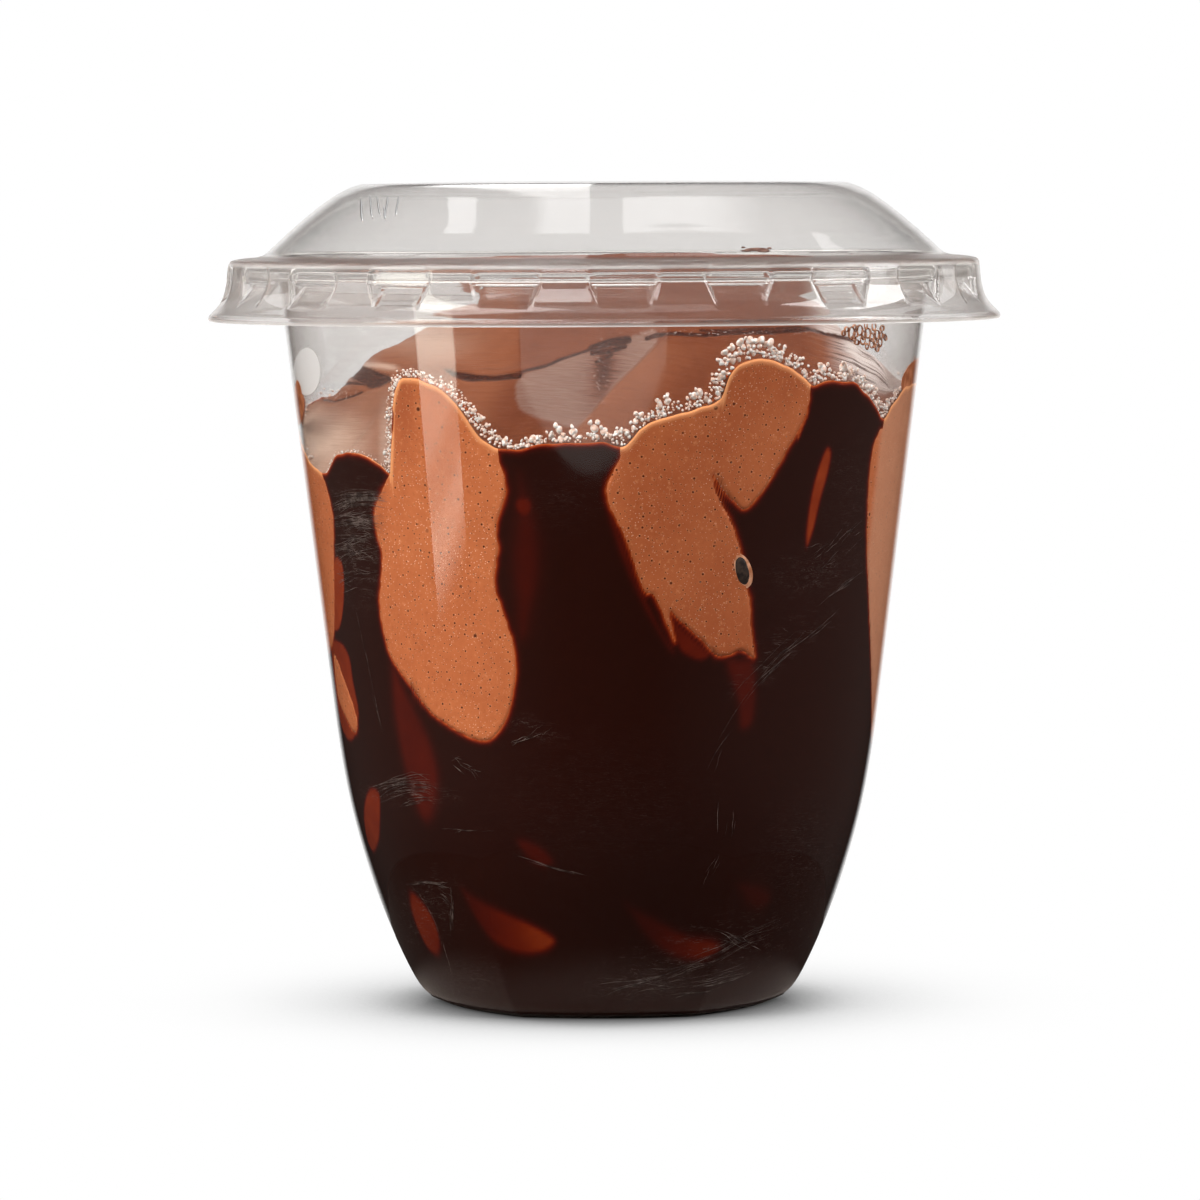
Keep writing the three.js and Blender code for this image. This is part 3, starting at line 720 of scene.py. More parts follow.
# ------------------------------------------------------------------ contents
MM_DEG = 0.64
CONTACT = np.array([
    [-180, 81], [-158, 80], [-138, 79.5], [-118, 78], [-102, 77], [-90, 74.9], [-80, 71.6], [-71.7, 69.5], [-66.1, 68.9], [-60.6, 71.2], [-55.2, 71.8],
    [-50.7, 71.4], [-47, 70.4], [-43.9, 69.4], [-43.4, 71.6], [-42.5, 74.8], [-41.7, 77.9], [-40.5, 80.0], [-38.9, 81.2], [-36.8, 81.4],
    [-34.0, 80.9], [-30.9, 80.1], [-27.9, 78.4], [-26.1, 76.8], [-22.4, 73.7], [-19.9, 72.6], [-15.7, 72.7], [-11.0, 73.3],
    [-5.5, 73.5], [-0.9, 73.4], [3.1, 73.0], [6.3, 75.0], [10.8, 76.6], [17.3, 77.6], [21.2, 78.9], [22.5, 81.5], [24.4, 82.9],
    [28.4, 83.6], [34.0, 82.7], [38.7, 80.8], [40.5, 80.3], [44.9, 80.6], [50.0, 80.4], [54.6, 79.2], [59.8, 76.9], [63.2, 75.6],
    [66.3, 77.2], [74.3, 79.5], [90, 79.8], [108, 79.2], [126, 80.2], [146, 81.5], [164, 81.5], [180, 81],
])


def contact(deg):
    """Height of the line where the contents meet the wall."""
    from_line = monotone(CONTACT[:, 0], CONTACT[:, 1], np.asarray(deg, float))
    return from_line + 0.12 * waves(np.asarray(deg, float) * MM_DEG, 0 * np.asarray(deg, float), 5.0, 3, 2)


def monotone(xs, ys, x):
    """Smooth interpolation that doesn't overshoot."""
    h = np.diff(xs)
    s = np.diff(ys) / h
    m = np.zeros(len(xs))
    same = s[:-1] * s[1:] > 0
    m[1:-1] = np.where(same, 2 * s[:-1] * s[1:] / (s[:-1] + s[1:] + 1e-12 * (~same)), 0)
    i = np.clip(np.searchsorted(xs, x) - 1, 0, len(xs) - 2)
    t = (x - xs[i]) / h[i]
    return ((1 + 2 * t) * (1 - t) ** 2 * ys[i] + t * (1 - t) ** 2 * h[i] * m[i]
            + t * t * (3 - 2 * t) * ys[i + 1] + t * t * (t - 1) * h[i] * m[i + 1])


PATCH_A = [(400, 340), (400, 378), (395, 395), (396, 420), (393, 450), (392, 470), (391, 478), (381, 495), (376, 515), (379, 535), (384, 555),
           (383, 580), (381, 600), (384, 625), (390, 650), (398, 666), (408, 680), (420, 697), (432, 712), (445, 722), (462, 733),
           (480, 740), (493, 738), (503, 726), (510, 710), (514, 690), (516, 668), (514, 645), (508, 625), (501, 605), (495, 585),
           (496, 565), (499, 548), (496, 530), (501, 510), (506, 495), (505, 478), (498, 458), (497, 440), (497, 380)]
PATCH_B = [(622, 400), (622, 446), (621, 458), (612, 474), (607, 487), (609, 505), (618, 522), (628, 545), (636, 570), (645, 592), (652.6, 594), (661.8, 611),
           (667.5, 626), (674.4, 642), (671.5, 625), (668, 608), (675.6, 616.4), (689.4, 629), (702, 640.5), (711, 650.8), (717, 655.4),
           (724, 655.5), (732, 653), (738, 650), (745, 652), (750, 656), (753.7, 657), (752, 641.7), (750, 624), (749, 601.5),
           (746, 585), (742, 560), (738, 545), (732, 525), (722, 505), (715, 490), (712, 473), (720, 486), (732, 500), (741, 508),
           (748, 507), (760, 493), (772, 475), (786, 450), (800, 425), (807, 404), (808, 386), (810, 340)]
PATCH_BACK = {
    "right": [[63.8, 90], [63.7, 75.6], [62.0, 74.1], [60.2, 72.3], [59.7, 69.1], [60.2, 65.3], [61.6, 60.2], [64.1, 55.1], [69.1, 47.3], [75.6, 39.3],
              [82.2, 33.9], [92, 36], [103, 45], [107, 60], [101, 74], [103, 90]],
    "left": [[-69.5, 90], [-69.5, 71], [-68.6, 69.0], [-66.4, 66.8], [-65.2, 63.6], [-66.4, 60.0], [-68.4, 56.0], [-70.6, 52.0], [-73.4, 48.4], [-77.5, 46.4],
             [-84, 45.5], [-93, 47], [-99, 56], [-95, 71], [-98, 90]],
    "tongue": [[-76.0, 45.4], [-73.2, 44.6], [-70.2, 42.4], [-66.8, 39.6], [-65.6, 37.2], [-67.6, 35.8], [-71.5, 37.2], [-77.5, 40.4]],
    "back_left": [[-122, 90], [-124, 74], [-119, 60], [-125, 46], [-136, 38], [-146, 44], [-149, 58], [-144, 70], [-150, 90]],
    "back": [[178, 90], [176, 76], [170, 62], [172, 50], [163, 41], [152, 43], [146, 54], [150, 66], [143, 78], [141, 90]],
}


def wall_outline(points, px=True, parts=4):
    p = on_wall(points) if px else np.array(points, float)
    p = p * [MM_DEG, 1.0]
    return loop_spline(p, parts)


OUTLINES = [wall_outline(PATCH_A), wall_outline(PATCH_B)] + [wall_outline(o, False) for o in PATCH_BACK.values()]


def bare(deg, z):
    """Signed distance in mm along the wall to the nearest bare patch's edge, + inside it."""
    u = deg * MM_DEG + 0 * z
    res = np.full(np.broadcast(deg, z).shape, -6.0)
    for o in OUTLINES:
        res = np.maximum(res, inside_by(u, z + 0 * deg, o))
    return res + 0.05 * waves(u, z + 0 * deg, 2.2, 5, 2)


def food_columns():
    front = np.arange(-84, 84, 0.44)
    back = np.linspace(84, 276, 137, endpoint=False)
    deg = np.concatenate([front, back])
    return np.where(deg > 180, deg - 360, deg)


PEAK = (8.0, 5.0, 93.9)


def top_height(x, y, deg, edge_r, edge_z):
    r = np.hypot(x, y)
    dx, dy = x - PEAK[0], y - PEAK[1]
    m = PEAK[2] - np.where(dx < 0, 0.0078, 0.0152) * dx * dx - np.where(dy < 0, 0.0098, 0.005) * dy * dy
    d = edge_r - r
    m = m + 0.9 * np.sin(0.19 * x + 0.33 * y + 0.8) * smooth(0, 18, d) + 0.6 * np.sin(0.34 * x - 0.12 * y) * smooth(0, 14, d)
    width = monotone(np.array([-180.0, -110, -75, -55, -30, 20, 45, 62, 100, 130, 180]),
                     np.array([9.0, 9.0, 10.0, 12.0, 13.0, 13.0, 10.0, 5.0, 5.0, 8.0, 9.0]), deg)
    u = np.clip(d / width, 0, 1)
    s = 0.5 * (u * u * (3 - 2 * u)) + 0.5 * (1 - (1 - u) ** 2)
    return edge_z + (m - edge_z) * s


def closeness(deg, z, zc):
    """Distance in mm along the wall from the contact line, allowing for its slope."""
    step = 0.4
    slope = (contact(np.clip(deg + step, -180, 180)) - contact(np.clip(deg - step, -180, 180))) / (2 * step * MM_DEG)
    return (zc - z) / np.sqrt(1 + slope * slope)


def build_ice():
    deg = food_columns()
    cols = len(deg)
    zc = contact(deg)
    rows, rim_all, painted_frost_glint_all, lay_all, painted_shade_all = [], [], [], [], []

    def push(p, rim, frost, lay):
        rows.append(p)
        rim_all.append(rim)
        painted_frost_glint_all.append(frost)
        lay_all.append(lay)

    low = 10.0
    for rr, zz in ((0.45, 8.0), (0.84, 8.8)):
        push(polar(deg, rr * (wall_in(deg, low) - 5), np.full(cols, zz)), np.zeros(cols), np.zeros(cols), np.zeros((cols, 2)))
    for t in np.concatenate([np.linspace(0, 0.28, 9)[:-1], np.linspace(0.28, 1.0, 130)]):
        z = low + (zc - low) * t
        sd = bare(deg, z)
        covered = 1 - np.exp(-np.maximum(-sd, 0) * 0.55)
        sink = covered * (0.45 + 4.15 * smooth(0.4, 5.5, zc - z)) + 2.2 * smooth(26, 12, z)
        r = wall_in(deg, z) + 0.10 - sink
        u, v = deg * MM_DEG, z
        rim = smooth(0.72, 0.16, closeness(deg, z, zc)) * 0.85
        seen = project(polar(deg, r, z))
        # painted shade: darker on patch B to the right and on the upper left of patch A, and half as much all round the
        # back
        shade = smooth(575, 640, seen[:, 0]) * smooth(62, 52, np.abs(deg)) + 1.5 * blob(seen[:, 0], seen[:, 1], 404, 398, 13, 46)
        painted_shade_all.append(np.where(np.abs(deg) < 90, shade, 0.5))
        # where the painted frost glints go: some everywhere, most on patch A
        frost = np.clip(0.35 + 0.9 * np.exp(-(((u + 22.5) / 7) ** 2 + ((v - 60.5) / 6.5) ** 2)) + 0.2 * waves(u, v, 14, 21), 0, 1)
        push(polar(deg, r, z), rim, frost, np.stack([u, v], -1))
    edge = rows[-1]
    rad = np.hypot(edge[:, 0], edge[:, 1])
    push(polar(deg, rad - 1.2, zc - 3.0), np.zeros(cols), np.zeros(cols), lay_all[-1])
    v = np.concatenate(rows)
    n = len(rows)
    q = ring_quads(n, cols)
    a, b = len(v), len(v) + 1
    v = np.vstack([v, [[0, 0, 7.8]], [[0, 0, 60.0]]])
    t = np.vstack([cap_tris(0, cols, a, flip=True), cap_tris((n - 1) * cols, cols, b)])
    lay = np.vstack([np.concatenate(lay_all), [[0, 0]], [[0, 0]]])
    make_piece("ice_cream_body", v, q, t, attrs={
        # painted reflection over patch C, between 61 and 100 degrees
        "wan": np.append(np.tile(0.62 * smooth(61, 64, deg) * smooth(100, 85, deg), n), [0, 0]),
        "shade": np.concatenate([np.zeros(2 * cols)] + painted_shade_all + [np.zeros(cols), [0, 0]]),
        "rim": np.append(np.concatenate(rim_all), [0, 0]), "frost": np.append(np.concatenate(painted_frost_glint_all), [0, 0]),
    }, uvs={"lay": lay}, mats=[SIDE_MAT], replaces=["ice_cream"])
    build_top(deg, rad, zc)


def build_top(deg, edge_r, zc):
    """The swirled top, laid out as it is seen from the camera: folds, brush strokes, veil."""
    cols = len(deg)
    down = np.concatenate([[0.0, 0.10, 0.22], np.linspace(0.36, 13.0, 118), np.linspace(13.3, 22.0, 30), np.linspace(23, 39, 13)])
    keys = ("tone", "veil", "pale", "white", "dark", "ribs", "wet")
    rows, fields, lay, flow = [], {k: [] for k in keys}, [], []
    for d in down:
        r = edge_r * (1 - np.minimum(d / 40.6, 0.985))
        x, y = r * np.sin(np.radians(deg)), -r * np.cos(np.radians(deg))
        z = top_height(x, y, deg, edge_r, zc)
        p = np.stack([x, y, z], -1)
        px = project(p)
        out = np.stack([np.sin(np.radians(deg)), -np.cos(np.radians(deg)), np.full(cols, 0.9)], -1) * 0.75
        lift, f, fl = top_layout(px[:, 0], px[:, 1], y < 24)
        p = p + out * (lift * smooth(0.2, 2.2, np.full(cols, d)))[:, None]
        rows.append(p)
        for k in keys:
            fields[k].append(f[k])
        lay.append(px / 10.0)
        flow.append(fl)
    rows.insert(0, polar(deg, edge_r - 1.0, zc - 0.9))
    for k in keys:
        fields[k].insert(0, fields[k][0])
    lay.insert(0, lay[0])
    flow.insert(0, flow[0])
    v = np.concatenate(rows)
    n = len(rows)
    q = ring_quads(n, cols)
    a = len(v)
    c = rows[-1].mean(0)
    v = np.vstack([v, [c]])
    t = cap_tris((n - 1) * cols, cols, a)
    make_piece("ice_cream_top", v, q, t, attrs={k: np.append(np.concatenate(fields[k]), 0) for k in keys},
               uvs={"lay": np.vstack([np.concatenate(lay), [[60, 27]]]), "flow": np.vstack([np.concatenate(flow), [[60, 27]]])},
               mats=[TOP_MAT])


# outlines and lines in the frame, as the top is seen through the wall
VEIL = loop_spline([(519, 378), (545, 366), (575, 354), (600, 346), (625, 339), (652, 328), (657, 342), (640, 362), (616, 386), (592, 414),
                    (579, 428), (560, 424), (545, 420), (519, 408)], 3)
FOLD_DIAG = spline([(566, 450), (579, 426), (592, 414), (616, 386), (640, 362), (662, 338)], 4)
FOLD_MID = spline([(425, 362), (442.5, 371), (451.5, 374.8), (465.5, 381.2), (491, 380.6), (519, 379.3), (535, 383)], 4)
FOLD_LEFT = spline([(296, 392), (309.6, 398.6), (319.8, 403.2), (333, 404.2), (346.3, 400.6), (359.6, 396.5), (368.8, 392.4), (380, 390.4), (396, 384)], 4)
# the first area, under the middle fold, is partly sauce and partly painted shadow of the fold's overhang
DARK_AREAS = [loop_spline(o, 3) for o in (
    [(444, 368), (459, 371.5), (488, 374.5), (511, 373), (521.6, 371.7), (519, 379.5), (491, 381), (466, 381.5), (451, 375.5)],
    [(354, 364), (366, 366), (378, 371), (389, 375), (391, 381), (382, 386), (371, 389), (362, 383), (352, 379), (346, 373), (350, 368)],
)]
DARK_LINES = [
    ([(521, 371.7), (544.6, 365.3), (562.4, 358.3), (585.4, 350.6), (598, 345.5)], 1.6),
    ([(592, 347.5), (602, 344.5), (611, 342), (628, 339.5)], 4.0),
    ([(592, 353), (610, 350.5), (625, 346)], 2.4),
    ([(596, 362), (604, 358), (612, 354)], 1.6),
    ([(646.8, 337.7), (659.3, 334), (700.4, 335), (723.6, 332.3), (770, 332.3), (807.5, 328.8)], 2.5),
    ([(807, 329), (825.4, 333.2), (839.6, 335.9), (852, 339.5)], 2.0),
    ([(700, 330), (740, 329), (800, 327)], 1.4),
    ([(364, 350), (380, 345), (396, 341)], 0.4),
    ([(330, 385), (341, 379), (350, 372)], 0.7),
    ([(322, 400), (334, 401), (348, 398), (362, 392)], 1.2),
    ([(334, 388), (350, 383), (366, 384)], 1.4),
]


def top_layout(x, y, front):
    n = x.shape
    veil_d = inside_by(x, y, VEIL, 40)
    diag = side_of(x, y, FOLD_DIAG)
    mid = side_of(x, y, FOLD_MID)
    left = side_of(x, y, FOLD_LEFT)
    w_mid = smooth(415, 445, x) * smooth(560, 515, x)
    w_left = smooth(415, 385, x)
    dark = np.full(n, -20.0)
    for area in DARK_AREAS:
        dark = np.maximum(dark, inside_by(x, y, area, 20))
    for line, half in DARK_LINES:
        dark = np.maximum(dark, half - line_distance(x, y, line))
    band = blob(x, y, 604, 368, 14, 46, 8)
    dark = np.maximum(dark, np.where(veil_d > 0, 2.6 * band - 2.0, -20))
    # the fan of strokes on the right
    xo = [780, 800, 816, 852, 875, 884, 889]
    outer = np.interp(x, xo, [327, 328, 331, 342, 356, 370, 386])
    inner = np.interp(x, [780, 800, 820, 850, 870, 889], [352, 356, 362, 371, 381, 390])
    t = (y - outer) / np.maximum(inner - outer, 1.5)
    fan = smooth(790, 825, x) * smooth(-0.15, 0.05, t) * smooth(1.5, 0.9, t) * smooth(905, 890, x)
    beyond = smooth(0.02, -0.10, t) * smooth(800, 830, x)
    # light and dark folds
    tone = 1 - 0.85 * smooth(478, 520, x + 0.55 * (y - 400))
    tone = np.where(x > 519, 0.12, tone)
    tone = np.maximum(tone, 0.95 * ridge(diag, 1.5, 70) * smooth(330, 360, y) * (x > 560))
    tone = np.maximum(tone, 0.7 * fan)
    tone = np.maximum(tone, 0.30 * blob(x, y, 760, 350, 60, 14))
    band = blob(x, y, 604, 368, 14, 46, 8)
    veil = smooth(-1, 1.5, veil_d) * (0.95 - 0.85 * band)
    pale = w_left * (0.10 + 0.55 * smooth(398, 436, y) * smooth(388, 345, x) + 0.9 * blob(x, y, 316, 434, 24, 20)) * smooth(-3, 3, left)
    pale = np.maximum(pale, 0.55 * w_left * blob(x, y, 386, 446, 8, 40))
    pale = np.maximum(pale, w_left * 0.75 * np.exp(-((y - (364 + (x - 364) * 0.1)) / 3.2) ** 2) * smooth(405, 392, x) * smooth(358, 366, x))
    pale = np.maximum(pale, 0.30 * blob(x, y, 430, 345, 40, 14))
    white = w_left * 0.95 * blob(x, y, 347, 373, 20, 8, -28) * smooth(3, -3, left)
    white = np.maximum(white, 1.15 * fan * smooth(820, 862, x))
    white = np.maximum(white, 0.85 * beyond)
    ribs = np.clip(fan * smooth(812, 845, x) * 0.85 + 0.95 * smooth(1, 5, veil_d) * blob(x, y, 604, 368, 22, 48, 8)
                   + 0.45 * w_left * blob(x, y, 350, 378, 20, 12, -25) + 0.55 * w_mid * blob(x, y, 470, 371, 34, 5), 0, 1.3)
    base_dark = 0.75 * smooth(0, 4, veil_d) * band
    # painted highlights: wet glints on the left fold, in the dark band and along a thin line at the back of the top
    wet = np.clip(0.9 * blob(x, y, 332, 395, 17, 6) + 0.15 * blob(x, y, 600, 372, 14, 36) + 0.4 * blob(x, y, 735, 332, 90, 3), 0, 1)
    lift = (0.45 * ridge(diag, 2.5, 75) * (x > 560) * smooth(325, 345, y) + 0.22 * ridge(mid, 2.2, 45) * w_mid + 0.30 * ridge(left, 2.2, 45) * w_left
            - 0.15 * smooth(-1.5, 2.5, dark))
    lift = lift + 0.015 * np.sin(y * 1.15 + 0.02 * x) * smooth(0, 1, tone) + 0.10 * waves(x, y, 60, 31) + 0.07 * fan * np.sin(t * 30)
    fx = np.where(fan > 0.02, x / 10.0, (x + 0.1 * y) / 10.0)
    fy = np.where(x > 800, t * 1.25, (y - 0.05 * (x - 600) + 6 * np.sin(x / 70.0)) / 10.0)
    keep = front.astype(float)
    f = {"tone": np.where(front, tone - base_dark, 0.5), "veil": veil * keep, "pale": pale * keep + 0.15 * (1 - keep), "white": white * keep,
         "dark": np.where(front, dark, -20.0),
         "ribs": ribs * keep, "wet": wet * keep}
    return lift * keep, f, np.stack([fx, fy], -1)


SCUFFS = [  # ovals in the frame: centre, half sizes, turn, strength along gentle strokes, strength along steep ones
    (362, 540, 30, 50, 0, 1.0, 0.0), (350, 500, 20, 12, 0, 0.9, 0.0), (410, 793, 38, 10, 4, 0.0, 0.8), (430, 910, 24, 30, 20, 0.2, 0.8),
    (700, 955, 95, 26, -18, 0.0, 0.65), (640, 985, 60, 16, 0, 0.5, 0.3), (536, 730, 26, 10, 20, 0.5, 0.0), (790, 640, 40, 14, -32, 0.0, 0.75),
    (760, 670, 30, 12, -35, 0.0, 0.6), (820, 570, 50, 22, -10, 0.45, 0.2), (850, 500, 26, 60, 0, 0.25, 0.1), (600, 800, 110, 60, 0, 0.14, 0.1),
    (800, 860, 36, 60, 0, 0.25, 0.3), (470, 980, 30, 20, 0, 0.4, 0.4), (560, 500, 30, 26, 0, 0.2, 0.1),
]


def build_sauce():
    deg = food_columns()
    cols = len(deg)
    zc = contact(deg)
    rows, thick_all = [], []
    for rr in (0.5, 0.8, 0.93, 0.985):
        rows.append(polar(deg, rr * wall_in(deg, 1.1), np.full(cols, 0.62)))
        thick_all.append(np.full(cols, 4.0))
    low = 1.2
    for t in np.linspace(0, 1, 170):
        z = low + (zc - low) * t
        sd = bare(deg, z)
        r = wall_in(deg, z) + 0.06 - np.minimum(np.maximum(sd, 0) * 1.0, 2.0)
        rows.append(polar(deg, r, z))
        thick_all.append(sauce_thickness(deg, z, sd, zc))
    # the top of the layer, turning in under the ice cream
    for inn, dz in ((0.12, -0.10), (0.4, -0.7), (1.0, -2.4), (2.0, -5.0), (4.0, -9.0)):
        sd = bare(deg, zc)
        r = wall_in(deg, zc) + 0.06 - inn - np.minimum(np.maximum(sd, 0) * 1.0, 2.0)
        rows.append(polar(deg, r, zc + dz - 0.8 * smooth(0, 0.6, sd)))
        thick_all.append(np.full(cols, 0.8))
    rows.append(polar(deg, wall_in(deg, zc) - 14, np.full(cols, 60.0)))
    thick_all.append(np.full(cols, 4.0))
    v = np.concatenate(rows)
    n = len(rows)
    px = project(v)
    front = (v[:, 1] < 0).astype(float)
    gentle, steep = np.zeros(len(v)), np.zeros(len(v))
    for cx, cy, rx, ry, turn, g, st in SCUFFS:
        b = blob(px[:, 0], px[:, 1], cx, cy, rx, ry, turn)
        gentle, steep = np.maximum(gentle, b * g), np.maximum(steep, b * st)
    gentle, steep = gentle * front + 0.3 * (1 - front), steep * front + 0.2 * (1 - front)
    wall = np.stack([np.tile(deg * MM_DEG, n), v[:, 2]], -1)
    q = ring_quads(n, cols)
    a, b = len(v), len(v) + 1
    v = np.vstack([v, [[0, 0, 0.62]], [[0, 0, 60.0]]])
    t = np.vstack([cap_tris(0, cols, a, flip=True), cap_tris((n - 1) * cols, cols, b)])
    return make_piece("sauce_layer", v, q, t, attrs={
        "thick": np.append(np.concatenate(thick_all), [4.0, 4.0]), "scuff": np.append(gentle, [0, 0]), "scuff2": np.append(steep, [0, 0]),
    }, uvs={"wall": np.vstack([wall, [[0, 0]], [[0, 0]]])}, mats=[SAUCE_MAT], replaces=["sauce"])


GLOWS = [  # places where the sauce is thin over ice cream: outline in the frame, least thickness in mm, softness in mm
    ("teardrop", [(459, 884), (475, 894), (500, 907), (530, 921), (552, 934), (556, 944), (545, 954), (525, 957), (505, 951), (485, 934), (468, 908)], 0.62, 1.7, -0.12, (540, 945)),
    ("crescent", [(622, 900), (640, 908), (665, 920), (690, 932), (715, 936), (722, 948), (705, 962), (680, 962), (655, 948), (636, 926)], 1.15, 2.0, -0.10, (700, 950)),
    ("glow_a", [(516, 838), (530, 838), (546, 848), (556, 862), (545, 869), (530, 862), (520, 850)], 1.8, 1.6, 0.0, None),
    ("glow_b", [(735, 884), (755, 880), (774, 890), (770, 908), (750, 910)], 2.3, 2.4, 0.0, None),
    ("red_right_of_a", [(518, 470), (530, 490), (540, 520), (545, 560), (540, 600), (528, 640), (516, 640), (512, 600), (508, 560), (512, 520)], 2.05, 3.2, 0.0, None),
    ("spot_right_of_a", [(515, 500), (522, 495), (531, 498), (534, 507), (530, 516), (521, 517), (515, 509)], 1.45, 1.0, 0.0, None),
    ("below_b", [(722, 660), (740, 656), (755, 660), (757, 700), (752, 726), (738, 730), (734, 700)], 1.7, 1.8, 0.0, None),
    ("b_notch", [(669, 612), (676, 620), (689, 632), (702, 644), (711, 655), (700, 662), (684, 656), (676, 645)], 1.25, 0.9, 0.0, None),
    ("sliver_1", [(826, 445), (831, 452), (827, 475), (820, 500), (813, 530), (806, 549), (803, 540), (806, 510), (812, 480), (820, 455)], 0.62, 0.9, 0.0, None),
    ("sliver_2", [(806, 406), (809, 412), (803, 428), (797, 442), (795, 436), (800, 418)], 0.35, 0.5, 0.0, None),
    ("oval_left", [(374, 785), (382, 792), (383, 815), (381, 840), (375, 853), (369, 840), (366, 815), (368, 795)], 0.80, 0.9, 0.0, None),
    ("crescent_left", [(407, 888), (420, 900), (432, 922), (436, 945), (432, 958), (420, 948), (410, 925), (405, 903)], 0.95, 1.7, 0.0, None),
    ("reddish_left", [(392, 655), (410, 690), (430, 730), (442, 770), (440, 810), (428, 826), (412, 800), (400, 750), (392, 700)], 1.65, 2.6, 0.0, None),
    ("loop_left", [(334, 642), (343, 640), (352, 655), (356, 680), (362, 715), (357, 740), (349, 738), (342, 715), (338, 685)], 0.75, 0.8, 0.0, None),
    ("oval_small", [(337, 558), (344, 560), (347, 580), (346, 610), (342, 630), (336, 628), (335, 600)], 0.60, 0.5, 0.0, None),
    ("streak_mid", [(606, 498), (614, 512), (628, 548), (642, 585), (660, 625), (676, 652), (668, 652), (650, 622), (632, 588), (616, 548), (605, 512)], 1.7, 1.1, 0.0, None),
]
GLOWS = [(n, wall_outline(o, True, 3), t, s, k, None if c is None else on_wall([c])[0] * [MM_DEG, 1]) for n, o, t, s, k, c in GLOWS]


def sauce_thickness(deg, z, sd, zc):
    """Millimetres of sauce over the ice cream, as it colours the surface."""
    u = deg * MM_DEG
    t = np.minimum(4.0, 0.05 + np.maximum(-sd, 0) * 3.8)
    t = np.minimum(t, 0.1 + np.maximum(zc - z, 0) * 3.5)
    for name, outline, least, soft, tilt, pivot in GLOWS:
        s = inside_by(u, z, outline, 4.0)
        if pivot is not None:
            least = least + np.maximum(0, (u - pivot[0]) * tilt)
        inner = least + np.maximum(0, 4.0 - least) * smooth(soft * 0.6, -soft * 0.5, s)
        t = np.minimum(t, inner)
    return t


# ------------------------------------------------------------------ frost and bubbles along the contact line
def icosphere(level):
    import bmesh
    bm = bmesh.new()
    bmesh.ops.create_icosphere(bm, subdivisions=level, radius=1.0)
    v = np.array([p.co[:] for p in bm.verts])
    f = np.array([[p.index for p in face.verts] for face in bm.faces])
    bm.free()
    return v, f


def scatter(name, centres, radii, outward, mats, level=2, seed=3, rough=0.34, stretch=1.0):
    """Small uneven grains. Each is drawn out by `stretch` along its own `outward` direction."""
    v0, f0 = icosphere(level)
    g = np.random.default_rng(seed)
    verts, faces = [], []
    for i, (c, r, o) in enumerate(zip(centres, radii, outward)):
        jig = 1 + rough * np.sin(v0 @ g.normal(size=(3, 3)) * 2.2 + g.uniform(0, 6, 3)).mean(1)
        s = g.uniform(0.8, 1.2, 3)
        qq, _ = np.linalg.qr(g.normal(size=(3, 3)))
        q = (v0 * jig[:, None] * s) @ qq * r
        q = q + np.outer(q @ o, o) * (stretch - 1)
        faces.append(f0 + len(verts) * len(v0))
        verts.append(q + c)
    return make_piece(name, np.concatenate(verts), np.zeros((0, 4)), np.concatenate(faces), mats=mats)


BANDS = [  # along the contact line: degrees, width of the band, grain radius (mm), grains per mm
    (-180, -76, 1.0, 0.17, 0.5), (-66, -45, 0.5, 0.08, 3.0), (-45, -40.3, 1.1, 0.14, 12.0), (-40.3, -31, 1.2, 0.15, 13.0), (-31, -19.5, 1.5, 0.18, 11.0),
    (-19.5, 4.5, 1.0, 0.18, 5.0), (4.5, 20.5, 1.5, 0.21, 8.5), (20.5, 41.5, 1.9, 0.25, 11.0), (41.5, 63, 1.7, 0.25, 10.0), (63, 72, 1.1, 0.17, 6.0), (76, 180, 1.1, 0.18, 0.5),
]
CLUSTERS = [(504, 442, .45), (509, 447, .4), (516, 446, .3), (522, 445, .45), (528, 446, .4), (532, 439, .5), (538, 444, .45), (545, 441, .3), (551, 435, .55),
            (559, 430, .6), (561, 439, .5), (567, 437, .3), (573, 432, .6), (580, 437, .35), (588, 434, .3), (594, 428, .7), (597, 437, .4), (604, 431, .5),
            (610, 436, .35), (617, 433, .5), (622, 438, .3), (627, 433, .45), (636, 422, .5), (641, 415, .5), (634, 428, .35), (649, 418, .4), (480, 418, .4),
            (486, 425, .35), (492, 433, .35), (497, 439, .35), (474, 410, .4), (470, 421, .3), (722, 362, .5), (726, 352, .5), (733, 347, .55), (742, 342, .55),
            (752, 341, .6), (762, 340, .65), (771, 343, .6), (668, 400, .5), (660, 404, .5), (700, 392, .5), (694, 396, .45), (824, 368, .6), (846, 366, .6)]


